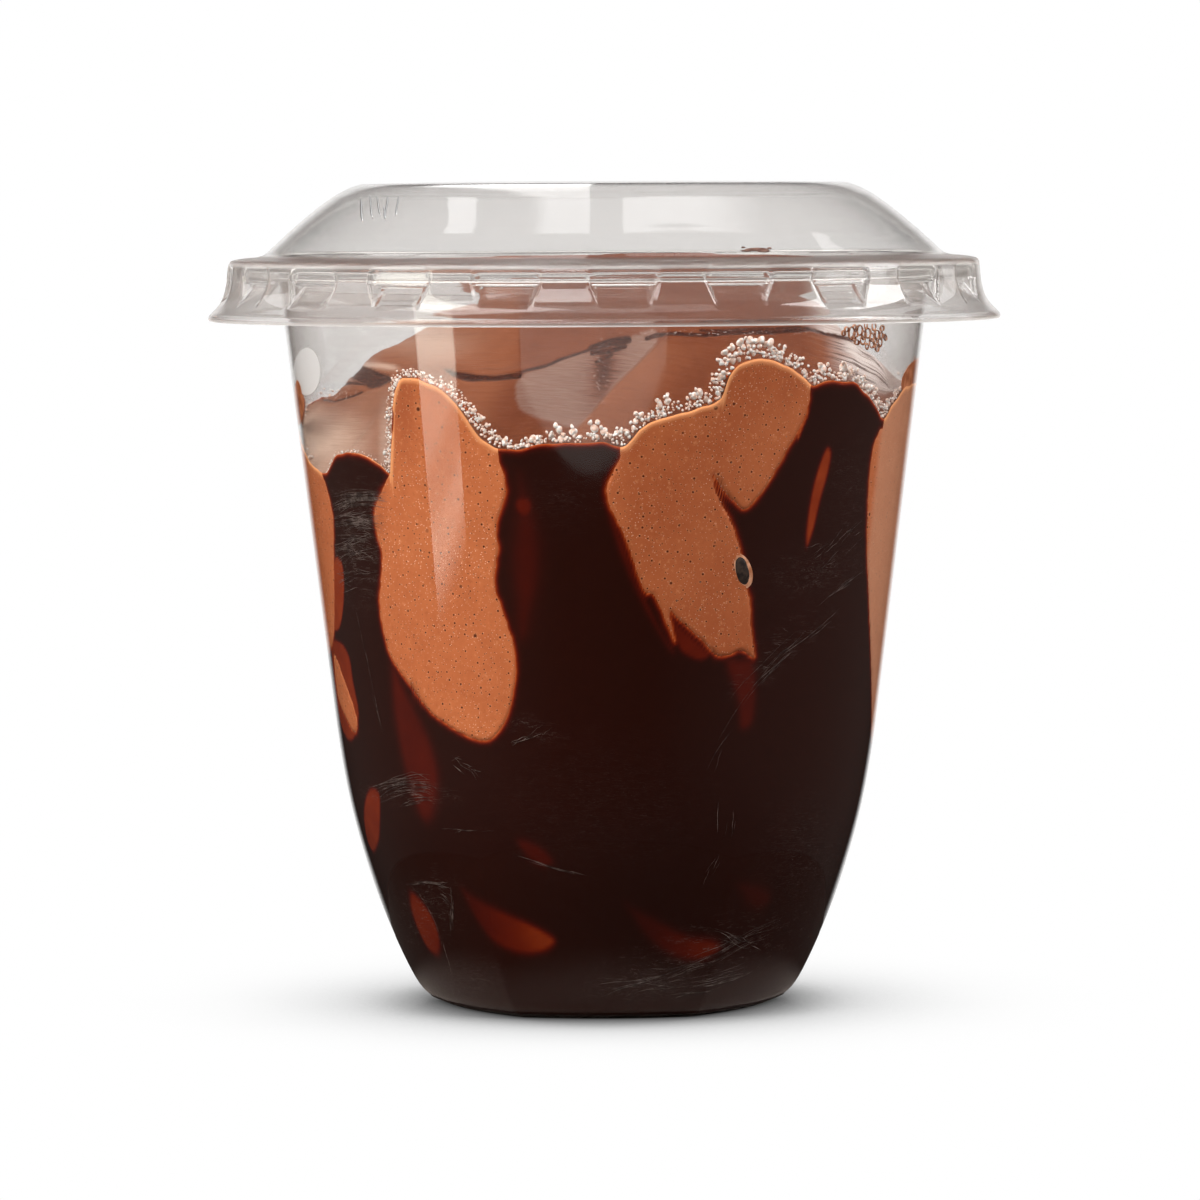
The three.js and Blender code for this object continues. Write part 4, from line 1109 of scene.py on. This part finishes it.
def build_beads():
    g = np.random.default_rng(17)
    deg = np.arange(-180, 180, 0.05)
    zc = contact(deg)
    u = deg * MM_DEG
    du, dz = np.gradient(u), np.gradient(zc)
    ds = np.hypot(du, dz)
    s = np.cumsum(ds)
    nx, nz = -dz / ds, du / ds
    spots = []          # u, z, radius, outward u, outward z
    placed = np.zeros((0, 3))

    def fits(cu, cz, r, gap):
        nonlocal placed
        if len(placed):
            d = np.hypot(placed[:, 0] - cu, placed[:, 1] - cz)
            if (d < (placed[:, 2] + r) * gap).any():
                return False
        placed = np.vstack([placed, [cu, cz, r]])
        return True

    for (cx, cy, r) in CLUSTERS:
        cu, cz = on_wall([(cx, cy)])[0] * [MM_DEG, 1]
        for k in range(3):
            rr = r * (0.78, 0.52, 0.42)[k]
            a = g.uniform(0, 6.28)
            off = 0 if k == 0 else r * 1.2
            if fits(cu + off * math.cos(a), cz + off * math.sin(a), rr, 0.6):
                spots.append((cu + off * math.cos(a), cz + off * math.sin(a), rr, 0.0, 1.0))
    for lo, hi, width, size, per in BANDS:
        i0, i1 = np.searchsorted(deg, lo), min(np.searchsorted(deg, hi), len(deg) - 1)
        length = s[i1] - s[i0]
        for _ in range(int(length * per * 1.25)):
            i = int(np.searchsorted(s, g.uniform(s[i0], s[i1])))
            i = min(max(i, 0), len(deg) - 1)
            far = g.beta(1.0, 1.35)
            r = float(np.clip(size * g.lognormal(-0.05, 0.34), 0.07, 0.46)) * (1.1 - 0.35 * far)
            off = 0.05 + r * 0.6 + far * width
            cu, cz = u[i] + nx[i] * off, zc[i] + nz[i] * off
            zline = float(contact(np.array([np.clip(cu / MM_DEG, -180, 180)]))[0])
            if cz < zline - 0.1 or not fits(cu, cz, r, 0.72):
                continue
            spots.append((cu, cz, r, nx[i], nz[i]))
    fine = [q for q in spots if q[2] < 0.25][:1500]
    large = [q for q in spots if q[2] >= 0.25][:380]
    for name, group, level, stretch in (("frost_beads", fine, 2, 1.1), ("bubble_beads", large, 3, 1.2)):
        centres, radii, outward = [], [], []
        for cu, cz, r, ou, oz in group:
            a = cu / MM_DEG
            rad = float(wall_in(a, cz)) - r * g.uniform(0.7, 1.3)
            centres.append(polar(a, rad, cz))
            t = np.array([math.cos(math.radians(a)), math.sin(math.radians(a)), 0]) * ou + np.array([0, 0, 1.0]) * oz
            outward.append(t / np.linalg.norm(t))
            radii.append(r)
        scatter(name, centres, radii, outward, [BEAD_MAT], level, seed=5, stretch=stretch)


def rings(name, spots, mats, tube=0.12, seed=8):
    """A lace of small rings lying against the wall. spots are degrees, height and radius."""
    g = np.random.default_rng(seed)
    verts, quads = [], []
    major, minor = 18, 7
    for a, z, r in spots:
        rad = float(wall_in(a, z)) - tube * 1.1
        c = polar(a, rad, z)
        e1 = np.array([math.cos(math.radians(a)), math.sin(math.radians(a)), 0])
        e2 = np.array([0, 0, 1.0])
        e3 = np.cross(e1, e2)
        w1, w2, ph = g.uniform(0.8, 1.2), g.uniform(0.8, 1.25), g.uniform(0, 6)
        th = np.arange(major) * 2 * math.pi / major
        ph2 = np.arange(minor) * 2 * math.pi / minor
        tt, pp = np.meshgrid(th, ph2, indexing="ij")
        thick = tube * (1 + 0.35 * np.sin(2 * tt + ph))
        rr = r + thick * np.cos(pp)
        p = c + (w1 * rr * np.cos(tt))[..., None] * e1 + (w2 * rr * np.sin(tt))[..., None] * e2 + (thick * np.sin(pp))[..., None] * e3
        base = len(verts) * major * minor
        i, j = np.meshgrid(np.arange(major), np.arange(minor), indexing="ij")
        i2, j2 = (i + 1) % major, (j + 1) % minor
        quads.append(np.stack([i * minor + j, i2 * minor + j, i2 * minor + j2, i * minor + j2], -1).reshape(-1, 4) + base)
        verts.append(p.reshape(-1, 3))
    return make_piece(name, np.concatenate(verts), np.concatenate(quads), mats=mats)


def build_lace():
    pts = [(851, 333, .62), (859, 330, .52), (867, 333, .62), (876, 334, .56), (862, 340, .58), (871, 343, .60), (879, 342, .45), (876, 348, .44),
           (854, 327, .36), (884, 337, .34), (881, 328, .40), (846, 329, .36), (873, 326, .44), (865, 325, .36), (856, 342, .36), (843, 333, .28),
           (853, 338, .34), (866, 346, .30), (863, 335, .5), (871, 337, .5), (855, 334, .45), (874, 341, .4), (880, 335, .4)]
    spots = [(*on_wall([(x, y)])[0], r) for x, y, r in pts]
    rings("bubble_lace", spots, [LACE_MAT])


def flake(name, outline_px, depth, mats, lift=0.0, thick=0.5):
    """A flat irregular piece lying in the inner wall, from its outline in the frame: rim, bulging middle, both sides."""
    o = loop_spline(on_wall(outline_px), 5)
    c = o.mean(0)
    levels = [(1.0, 0.0), (0.86, 0.55), (0.62, 0.85), (0.34, 0.97), (0.12, 1.0)]
    rows = []
    for f, h in levels:
        a, z = c[0] + (o[:, 0] - c[0]) * f, c[1] + (o[:, 1] - c[1]) * f
        rows.append(polar(a, wall_in(a, z) + lift + depth * h, z))
    front = ring_quads(len(rows), len(o))
    back = []
    for f, h in levels:
        a, z = c[0] + (o[:, 0] - c[0]) * f, c[1] + (o[:, 1] - c[1]) * f
        back.append(polar(a, wall_in(a, z) + lift - thick * h, z))
    v = np.concatenate(rows + back)
    q = np.vstack([front, ring_quads(len(back), len(o), first=len(rows) * len(o), flip=True)])
    m = len(o)
    last_f, last_b = (len(rows) - 1) * m, (2 * len(rows) - 1) * m
    cf, cb = len(v), len(v) + 1
    v = np.vstack([v, v[last_f:last_f + m].mean(0), v[last_b:last_b + m].mean(0)])
    t = np.vstack([cap_tris(last_f, m, cf), cap_tris(last_b, m, cb, flip=True)])
    return make_piece(name, v, q, t, mats=mats)


def build_marks():
    flake("seed_halo", [(733, 557), (737, 553), (744, 556), (749, 563), (752, 573), (751, 583), (746, 588), (739, 584), (734, 573), (732, 564)], 0.10, [HALO_MAT], 0.05, 0.5)
    flake("seed", [(735, 559), (739, 556), (744, 559), (747, 566), (749, 575), (747, 583), (743, 585), (738, 581), (735, 573), (734, 565)], 0.16, [SEED_MAT], 0.08, 0.8)
    flake("wall_smear", [(300, 380), (303, 384), (305, 393), (307, 402), (306, 414), (304, 423), (301, 425), (298.5, 418), (298, 405), (298, 392)], 0.10, [SMEAR_MAT], 0.03, 0.5)
    flake("wall_smear_right", [(902, 372), (909, 362), (916, 356), (918, 362), (915, 374), (910, 386), (903, 395), (899, 390), (899, 380)], 0.08, [SMEAR_MAT], 0.03, 0.5)


SCRATCHES = [  # lines in the frame that a bundle of hair-fine scratches follows: points, how many, spread across in px, how much of the line each covers
    ([(335, 506), (352, 500), (372, 498), (391, 500)], 40, 7, 0.8), ([(334, 526), (352, 521), (372, 520), (390, 524)], 44, 12, 0.65),
    ([(335, 552), (352, 548), (370, 548), (384, 552)], 40, 14, 0.55), ([(340, 578), (356, 575), (372, 576), (382, 578)], 16, 10, 0.4),
    ([(373, 795), (392, 787), (412, 783), (430, 783), (446, 792)], 28, 9, 0.55), ([(400, 806), (420, 801), (440, 800)], 8, 4, 0.5),
    ([(402, 886), (420, 883), (440, 884), (455, 888)], 12, 4, 0.6), ([(450, 886), (451, 905), (449, 925), (448, 942)], 12, 4, 0.5),
    ([(436, 892), (446, 898), (454, 904)], 12, 7, 0.5), ([(408, 884), (420, 899), (431, 922), (438, 950)], 3, 1.0, 0.95), ([(436, 935), (441, 958), (447, 981)], 3, 1.2, 0.9),
    ([(590, 990), (650, 980), (705, 962), (748, 942), (792, 925)], 34, 12, 0.35), ([(640, 990), (700, 984), (748, 972), (770, 958)], 20, 10, 0.35),
    ([(700, 930), (722, 933), (750, 946), (770, 950)], 8, 5, 0.5), ([(838, 607), (806, 634), (778, 656), (754, 682)], 9, 8, 0.45),
    ([(866, 520), (846, 534), (826, 552), (808, 566)], 16, 12, 0.35), ([(866, 566), (838, 590), (806, 624)], 5, 10, 0.4),
    ([(800, 640), (768, 672), (738, 706), (712, 748), (694, 790)], 6, 12, 0.4), ([(512, 743), (530, 734), (548, 724), (562, 716)], 5, 5, 0.5),
    ([(518, 856), (546, 866), (572, 874), (596, 880)], 5, 2, 0.6), ([(440, 829), (470, 831), (500, 832)], 5, 4, 0.4), ([(452, 760), (470, 768), (486, 780)], 10, 10, 0.4),
    ([(744, 800), (726, 850), (700, 895)], 8, 20, 0.25), 
    ([(356, 590), (366, 650), (382, 720), (396, 780)], 6, 5, 0.25),
]


def build_scratches():
    """Hair-fine scratches and smear lines on the inside of the wall, as three-sided threads."""
    g = np.random.default_rng(23)
    verts, quads, count = [], [], 0
    for points, many, spread, cover in SCRATCHES:
        base = spline(points, 2.5)
        base = on_wall(base)
        span = spread / 7.8
        for _ in range(many):
            n = len(base)
            length = max(4, int(n * np.clip(cover * g.uniform(0.4, 1.3), 0.1, 1.0)))
            first = int(g.integers(0, max(1, n - length)))
            a, z = base[first:first + length].T.copy()
            off = g.normal() * span * 0.5
            tilt = g.normal() * 0.25 * span
            t = np.linspace(-1, 1, length)
            wob = 0.05 * np.sin(t * g.uniform(2, 7) + g.uniform(0, 6))
            da, dz = np.gradient(a) * MM_DEG, np.gradient(z)
            ln = np.hypot(da, dz) + 1e-9
            shift = off + tilt * t + wob
            a = a + (-dz / ln) * shift / MM_DEG
            z = z + (da / ln) * shift
            w = (0.013 + 0.030 * g.random() ** 2) * (1 - t * t * 0.9)
            r = wall_in(a, z) + 0.13
            px, pz = -dz / ln, da / ln
            ring = []
            for k in range(3):
                ph = k * 2 * math.pi / 3
                across, outw = np.cos(ph) * w, np.sin(ph) * w * 0.5
                ring.append(polar(a + px * across / MM_DEG, r + outw, z + pz * across))
            verts.append(np.stack(ring, 1).reshape(-1, 3))
            i = np.arange(length - 1)[:, None] * 3
            k = np.arange(3)[None, :]
            k2 = (k + 1) % 3
            quads.append(np.stack([i + k, i + k2, i + 3 + k2, i + 3 + k], -1).reshape(-1, 4) + count)
            count += length * 3
    return make_piece("wall_scratches", np.concatenate(verts), np.concatenate(quads), mats=[SCRATCH_MAT])


def on_lid(x, y):
    """The front point of the dome's outer face seen at (x, y), and its outward normal."""
    line = np.array(LID_LINE)[:13]
    line = spline(line, 0.1)
    tan = np.gradient(line, axis=0)
    nrm = np.stack([-tan[:, 1], tan[:, 0]], 1)
    nrm /= np.linalg.norm(nrm, axis=1)[:, None]
    nrm *= np.sign(nrm[:, 1:2] + 1e-9)
    deg = np.arange(-88, 88, 0.2)
    pts = polar(deg[None, :], line[:, 0][:, None], line[:, 1][:, None])
    d = np.hypot(*(np.moveaxis(project(pts), -1, 0) - np.array([x, y])[:, None, None]))
    i, j = np.unravel_index(np.argmin(d), d.shape)
    a = math.radians(deg[j])
    return pts[i, j], np.array([nrm[i, 0] * math.sin(a), -nrm[i, 0] * math.cos(a), nrm[i, 1]])


def build_creases():
    """Five short upright creases pressed into the dome on the left."""
    v0, f0 = icosphere(2)
    verts, faces = [], []
    lines = [((360, 197), (363, 222), .16), ((369, 194), (373, 219), .13), ((376, 195), (381, 216), .12), ((387, 195), (386, 220), .14), ((398, 195), (396, 216), .12),
             ((383, 206), (386, 221), .10)]
    for a, b, w in lines:
        pa, na = on_lid(*a)
        pb, nb = on_lid(*b)
        n = (na + nb) / 2
        n /= np.linalg.norm(n)
        ax = pb - pa
        ln = np.linalg.norm(ax)
        ax = ax / ln
        side = np.cross(ax, n)
        mid, _ = on_lid((a[0] + b[0]) / 2, (a[1] + b[1]) / 2)
        along = v0[:, :1] * ln / 2
        bow = 0.10 * np.sin(v0[:, :1] * 3)
        p = mid + along * ax + v0[:, 1:2] * w * side + bow * side + v0[:, 2:3] * 0.09 * n - 0.02 * n
        faces.append(f0 + len(verts) * len(v0))
        verts.append(p)
    make_piece("lid_creases", np.concatenate(verts), np.zeros((0, 4)), np.concatenate(faces), mats=[LID_MAT])
    # a smear of ice cream touching the inside of the dome's shoulder
    verts, faces = [], []
    g = np.random.default_rng(4)
    for (x, y, rx, ry) in ((758, 247.5, 1.7, 0.26), (764, 249.5, 0.9, 0.2), (748, 249, 0.8, 0.14), (770, 246.5, 0.35, 0.12), (744, 246, 0.3, 0.1)):
        c, n = on_lid(x, y)
        side = np.array([n[1], -n[0], 0])
        side /= -np.linalg.norm(side)
        upv = np.cross(n, side)
        jig = 1 + 0.2 * np.sin(v0 @ g.normal(size=(3, 3)) * 2.0).mean(1)[:, None]
        p = c - 0.48 * n + (v0[:, :1] * rx * side + v0[:, 1:2] * ry * 1.3 * upv) * jig + v0[:, 2:3] * 0.12 * n
        faces.append(f0 + len(verts) * len(v0))
        verts.append(p)
    make_piece("dome_smear", np.concatenate(verts), np.zeros((0, 4)), np.concatenate(faces), mats=[DOME_SMEAR_MAT])


build_cup()
build_lid()
build_ice()
build_sauce()
build_beads()
build_lace()
build_marks()
build_creases()
build_scratches()

# ------------------------------------------------------------------ stage: floor, world and lights
def build_floor():
    m, t = material("floor_white")
    geo = t.node("ShaderNodeNewGeometry").outputs["Position"]
    flat = t.node("ShaderNodeVectorMath", {0: geo, 1: (1, 1, 0)}, operation="MULTIPLY").outputs[0]
    far = t.node("ShaderNodeVectorMath", {0: flat}, operation="LENGTH").outputs["Value"]
    lp = t.node("ShaderNodeLightPath")
    # for camera rays the floor is white emission with a painted contact shadow, taken from ambient occlusion round the
    # tub
    ao = t.node("ShaderNodeAmbientOcclusion", {"Distance": 0.07}, samples=24)
    shade = t.ramp(ao.outputs["AO"], [(0.0, 0.04), (0.35, 0.18), (0.49, 0.43), (0.61, 0.77), (0.68, 0.87), (0.75, 0.97), (0.82, 1.0)])
    col = t.mix(t.step(far, 0.07, 0.12), shade, (1.0, 1.0, 1.0))
    white = t.node("ShaderNodeEmission", {"Color": col, "Strength": 1.0})
    near = t.mix(t.step(far, 0.034, 0.0245), (0.035, 0.030, 0.027), (0.24, 0.205, 0.185))
    dim = t.node("ShaderNodeBsdfDiffuse", {"Color": near})
    none = t.node("ShaderNodeBsdfTransparent")
    other = t.node("ShaderNodeMixShader", {"Fac": t.step(far, 0.062, 0.064)})
    t.put(other.inputs[1], dim.outputs[0])
    t.put(other.inputs[2], none.outputs[0])
    mix = t.node("ShaderNodeMixShader", {"Fac": lp.outputs["Is Camera Ray"]})
    t.put(mix.inputs[1], other.outputs[0])
    t.put(mix.inputs[2], white.outputs[0])
    t.out(mix.outputs[0])
    n = 96
    a = np.arange(n) * 2 * math.pi / n
    v = np.vstack([np.stack([r * np.cos(a), r * np.sin(a), np.zeros(n)], -1) for r in (60.0, 120.0, 250.0)] + [np.zeros((1, 3))])
    q = ring_quads(3, n, flip=True)
    me = bpy.data.meshes.new("floor")
    faces = [tuple(int(i) for i in f[::-1]) for f in q] + [(int(i), int((i + 1) % n), 3 * n) for i in range(n)]
    me.from_pydata([tuple(p * MM) for p in v], [], faces)
    me.materials.append(m)
    ob = bpy.data.objects.new("floor", me)
    bpy.context.scene.collection.objects.link(ob)


def build_world():
    w = bpy.data.worlds.new("studio")
    bpy.context.scene.world = w
    t = Tree(w)
    d = t.node("ShaderNodeTexCoord").outputs["Generated"]
    sep = t.node("ShaderNodeSeparateXYZ", {"Vector": d})
    side = t.math("ABSOLUTE", sep.outputs["X"])
    up = t.step(sep.outputs["Z"], 0.10, 0.75)
    down = t.step(sep.outputs["Z"], -0.30, -0.60)
    studio = t.mix(t.step(side, 0.2, 1.0), (0.014, 0.013, 0.012), (0.10, 0.092, 0.084))
    studio = t.mix(down, studio, (0.050, 0.045, 0.042))
    studio = t.mix(up, studio, (0.34, 0.34, 0.34))
    # the bright backdrop ends a little way above the tub
    behind = t.mix(t.step(sep.outputs["Z"], 0.285, 0.31), (0.93, 0.925, 0.92), (0.42, 0.42, 0.42))
    behind = t.mix(t.step(sep.outputs["Z"], -0.15, -0.26), behind, (0.35, 0.33, 0.315))
    behind = t.mix(t.step(sep.outputs["Z"], -0.3, -0.7), behind, (0.12, 0.11, 0.105))
    back = t.step(sep.outputs["Y"], 0.92, 0.985)
    col = t.mix(back, studio, behind)
    lp = t.node("ShaderNodeLightPath")
    col = t.mix(lp.outputs["Is Camera Ray"], col, (1.0, 1.0, 1.0))
    bg = t.node("ShaderNodeBackground", {"Color": col, "Strength": 1.0})
    t.node("ShaderNodeOutputWorld", {"Surface": bg.outputs[0]})


def softbox(name, az, el, radiance, dist=1.3, tint=(1, 1, 1), target=(0, 0, 0.06), fade=None):
    """A rectangular lamp filling az and el (degrees from the front and above the horizon) as seen from the tub.
    fade: elevations between which it brightens from 0 to full, from the bottom up."""
    a0, e0 = math.radians(sum(az) / 2), math.radians(sum(el) / 2)
    half_w = dist * math.tan(math.radians(abs(az[1] - az[0]) / 2)) * max(0.35, math.cos(e0))
    half_h = dist * math.tan(math.radians(abs(el[1] - el[0]) / 2))
    d = Vector((math.sin(a0) * math.cos(e0), -math.cos(a0) * math.cos(e0), math.sin(e0)))
    return lamp(name, Vector(target) + d * dist, d, 2 * half_w, 2 * half_h, radiance, tint,
                None if fade is None else [target[2] + dist * math.sin(math.radians(e)) for e in fade])


def lamp(name, place, away, width, height, radiance, tint=(1, 1, 1), fade_z=None, fade_x=None):
    light = bpy.data.lights.new(name, "AREA")
    light.shape = "RECTANGLE"
    light.size, light.size_y = width, height
    light.energy = radiance * math.pi * width * height
    light.color = tint
    if fade_z or fade_x:
        t = Tree(light)
        pos = t.node("ShaderNodeSeparateXYZ", {"Vector": t.node("ShaderNodeNewGeometry").outputs["Position"]})
        k = 1.0
        if fade_z:
            k = t.step(pos.outputs["Z"], *fade_z[:2])
            if len(fade_z) == 6:          # dimmer between two heights
                dip = t.math("MULTIPLY", t.step(pos.outputs["Z"], fade_z[2], fade_z[3]), t.step(pos.outputs["Z"], fade_z[5], fade_z[4]))
                k = t.math("MULTIPLY", k, t.math("MULTIPLY_ADD", dip, -0.42, 1.0))
        if fade_x:
            kx = t.step(pos.outputs["X"], *fade_x)
            k = kx if not fade_z else t.math("MULTIPLY", k, kx)
        em = t.node("ShaderNodeEmission", {"Strength": k})
        t.node("ShaderNodeOutputLight", {"Surface": em.outputs[0]})
    ob = bpy.data.objects.new(name, light)
    ob.location = place
    ob.rotation_mode = "QUATERNION"
    ob.rotation_quaternion = Vector(away).to_track_quat("Z", "Y")
    ob.visible_camera = False
    bpy.context.scene.collection.objects.link(ob)
    return ob


build_floor()
build_world()
softbox("front_low", (-30, 22), (-15.7, -4), 0.60, 1.5, (0.95, 1.0, 0.95))
softbox("front_key", (-39, 13), (19, 42), 5.6, 1.5)
softbox("front_mid", (-39, 13), (1, 18), 0.3, 1.5)
softbox("left_strip", (-73, -54), (-22, 60), 3.6, 1.3, (1.0, 0.97, 0.86), fade=(-18.6, -17.2, -16.9, -16.4, -15.8, -15.3))
softbox("key_left", (-84, -32), (36, 72), 3.9, 1.3)
softbox("fill_right", (72, 108), (12, 50), 6.8, 1.3)
softbox("side_left", (-128, -92), (14, 40), 0.9, 1.3)
softbox("right_box", (84, 95), (2, 50), 1.2, 1.3)
softbox("right_rim", (124, 133), (-5, 50), 1.0, 1.3)
# a wide overhead lamp with three bright panels, which the dome mirrors as upright bars; each panel is bounded by
# lines a X + b Y + c = 0 in metres, + inside, with the widths over which its edge brightens
PANELS = [
    (1.0, [(0.9903, -0.1388, 0.6272, 0, 0.012), (-0.9923, 0.1235, -0.4877, 0, 0.012), (-0.8802, -0.4747, 0.0046, 0, 0.015), (0.7551, 0.6556, 0.1443, 0, 0.012)]),
    (1.0, [(0.9976, -0.0693, 0.2076, -0.080, 0.012), (-0.9998, 0.0176, -0.0474, 0, 0.008), (0.2210, 0.9753, -0.0861, 0, 0.02)]),
    (0.95, [(0.9998, 0.0187, -0.0658, 0, 0.008), (-0.9922, -0.1249, 0.5257, -0.14, 0.20), (0.5946, -0.8040, 0.3333, 0, 0.02), (-0.4633, 0.8862, -0.0584, 0, 0.02)]),
]
overhead = lamp("overhead", (0.05, 1.21, 1.3), (0, 0, 1), 1.4, 2.38, 1.55)
t = Tree(overhead.data)
pos = t.node("ShaderNodeSeparateXYZ", {"Vector": t.node("ShaderNodeNewGeometry").outputs["Position"]})
total = None
for level, lines in PANELS:
    k = level
    for a, b, c, e0, e1 in lines:
        v = t.math("MULTIPLY_ADD", pos.outputs["X"], a, t.math("MULTIPLY_ADD", pos.outputs["Y"], b, c))
        if e0 == -0.080:          # this panel's left side opens outwards away from the tub
            v = t.math("MAXIMUM", v, t.math("MULTIPLY_ADD", pos.outputs["X"], 0.99, t.math("MULTIPLY_ADD", pos.outputs["Y"], 0.12, 0.10)))
        k = t.math("MULTIPLY", t.step(v, e0, e1), k)
    total = k if total is None else t.math("MAXIMUM", total, k)
t.node("ShaderNodeOutputLight", {"Surface": t.node("ShaderNodeEmission", {"Strength": total}).outputs[0]})
lamp("top_fill", (0, -0.55, 1.35), (0, -0.35, 1), 1.3, 0.6, 1.2)

sc = bpy.context.scene
sc.view_settings.view_transform = "Standard"
sc.view_settings.look = "None"
sc.view_settings.exposure = 0.0
sc.view_settings.gamma = 1.0
sc.cycles.max_bounces = 13
sc.cycles.transmission_bounces = 12
sc.cycles.glossy_bounces = 5
sc.cycles.diffuse_bounces = 2
sc.cycles.transparent_max_bounces = 16
sc.cycles.caustics_reflective = True
sc.cycles.caustics_refractive = True
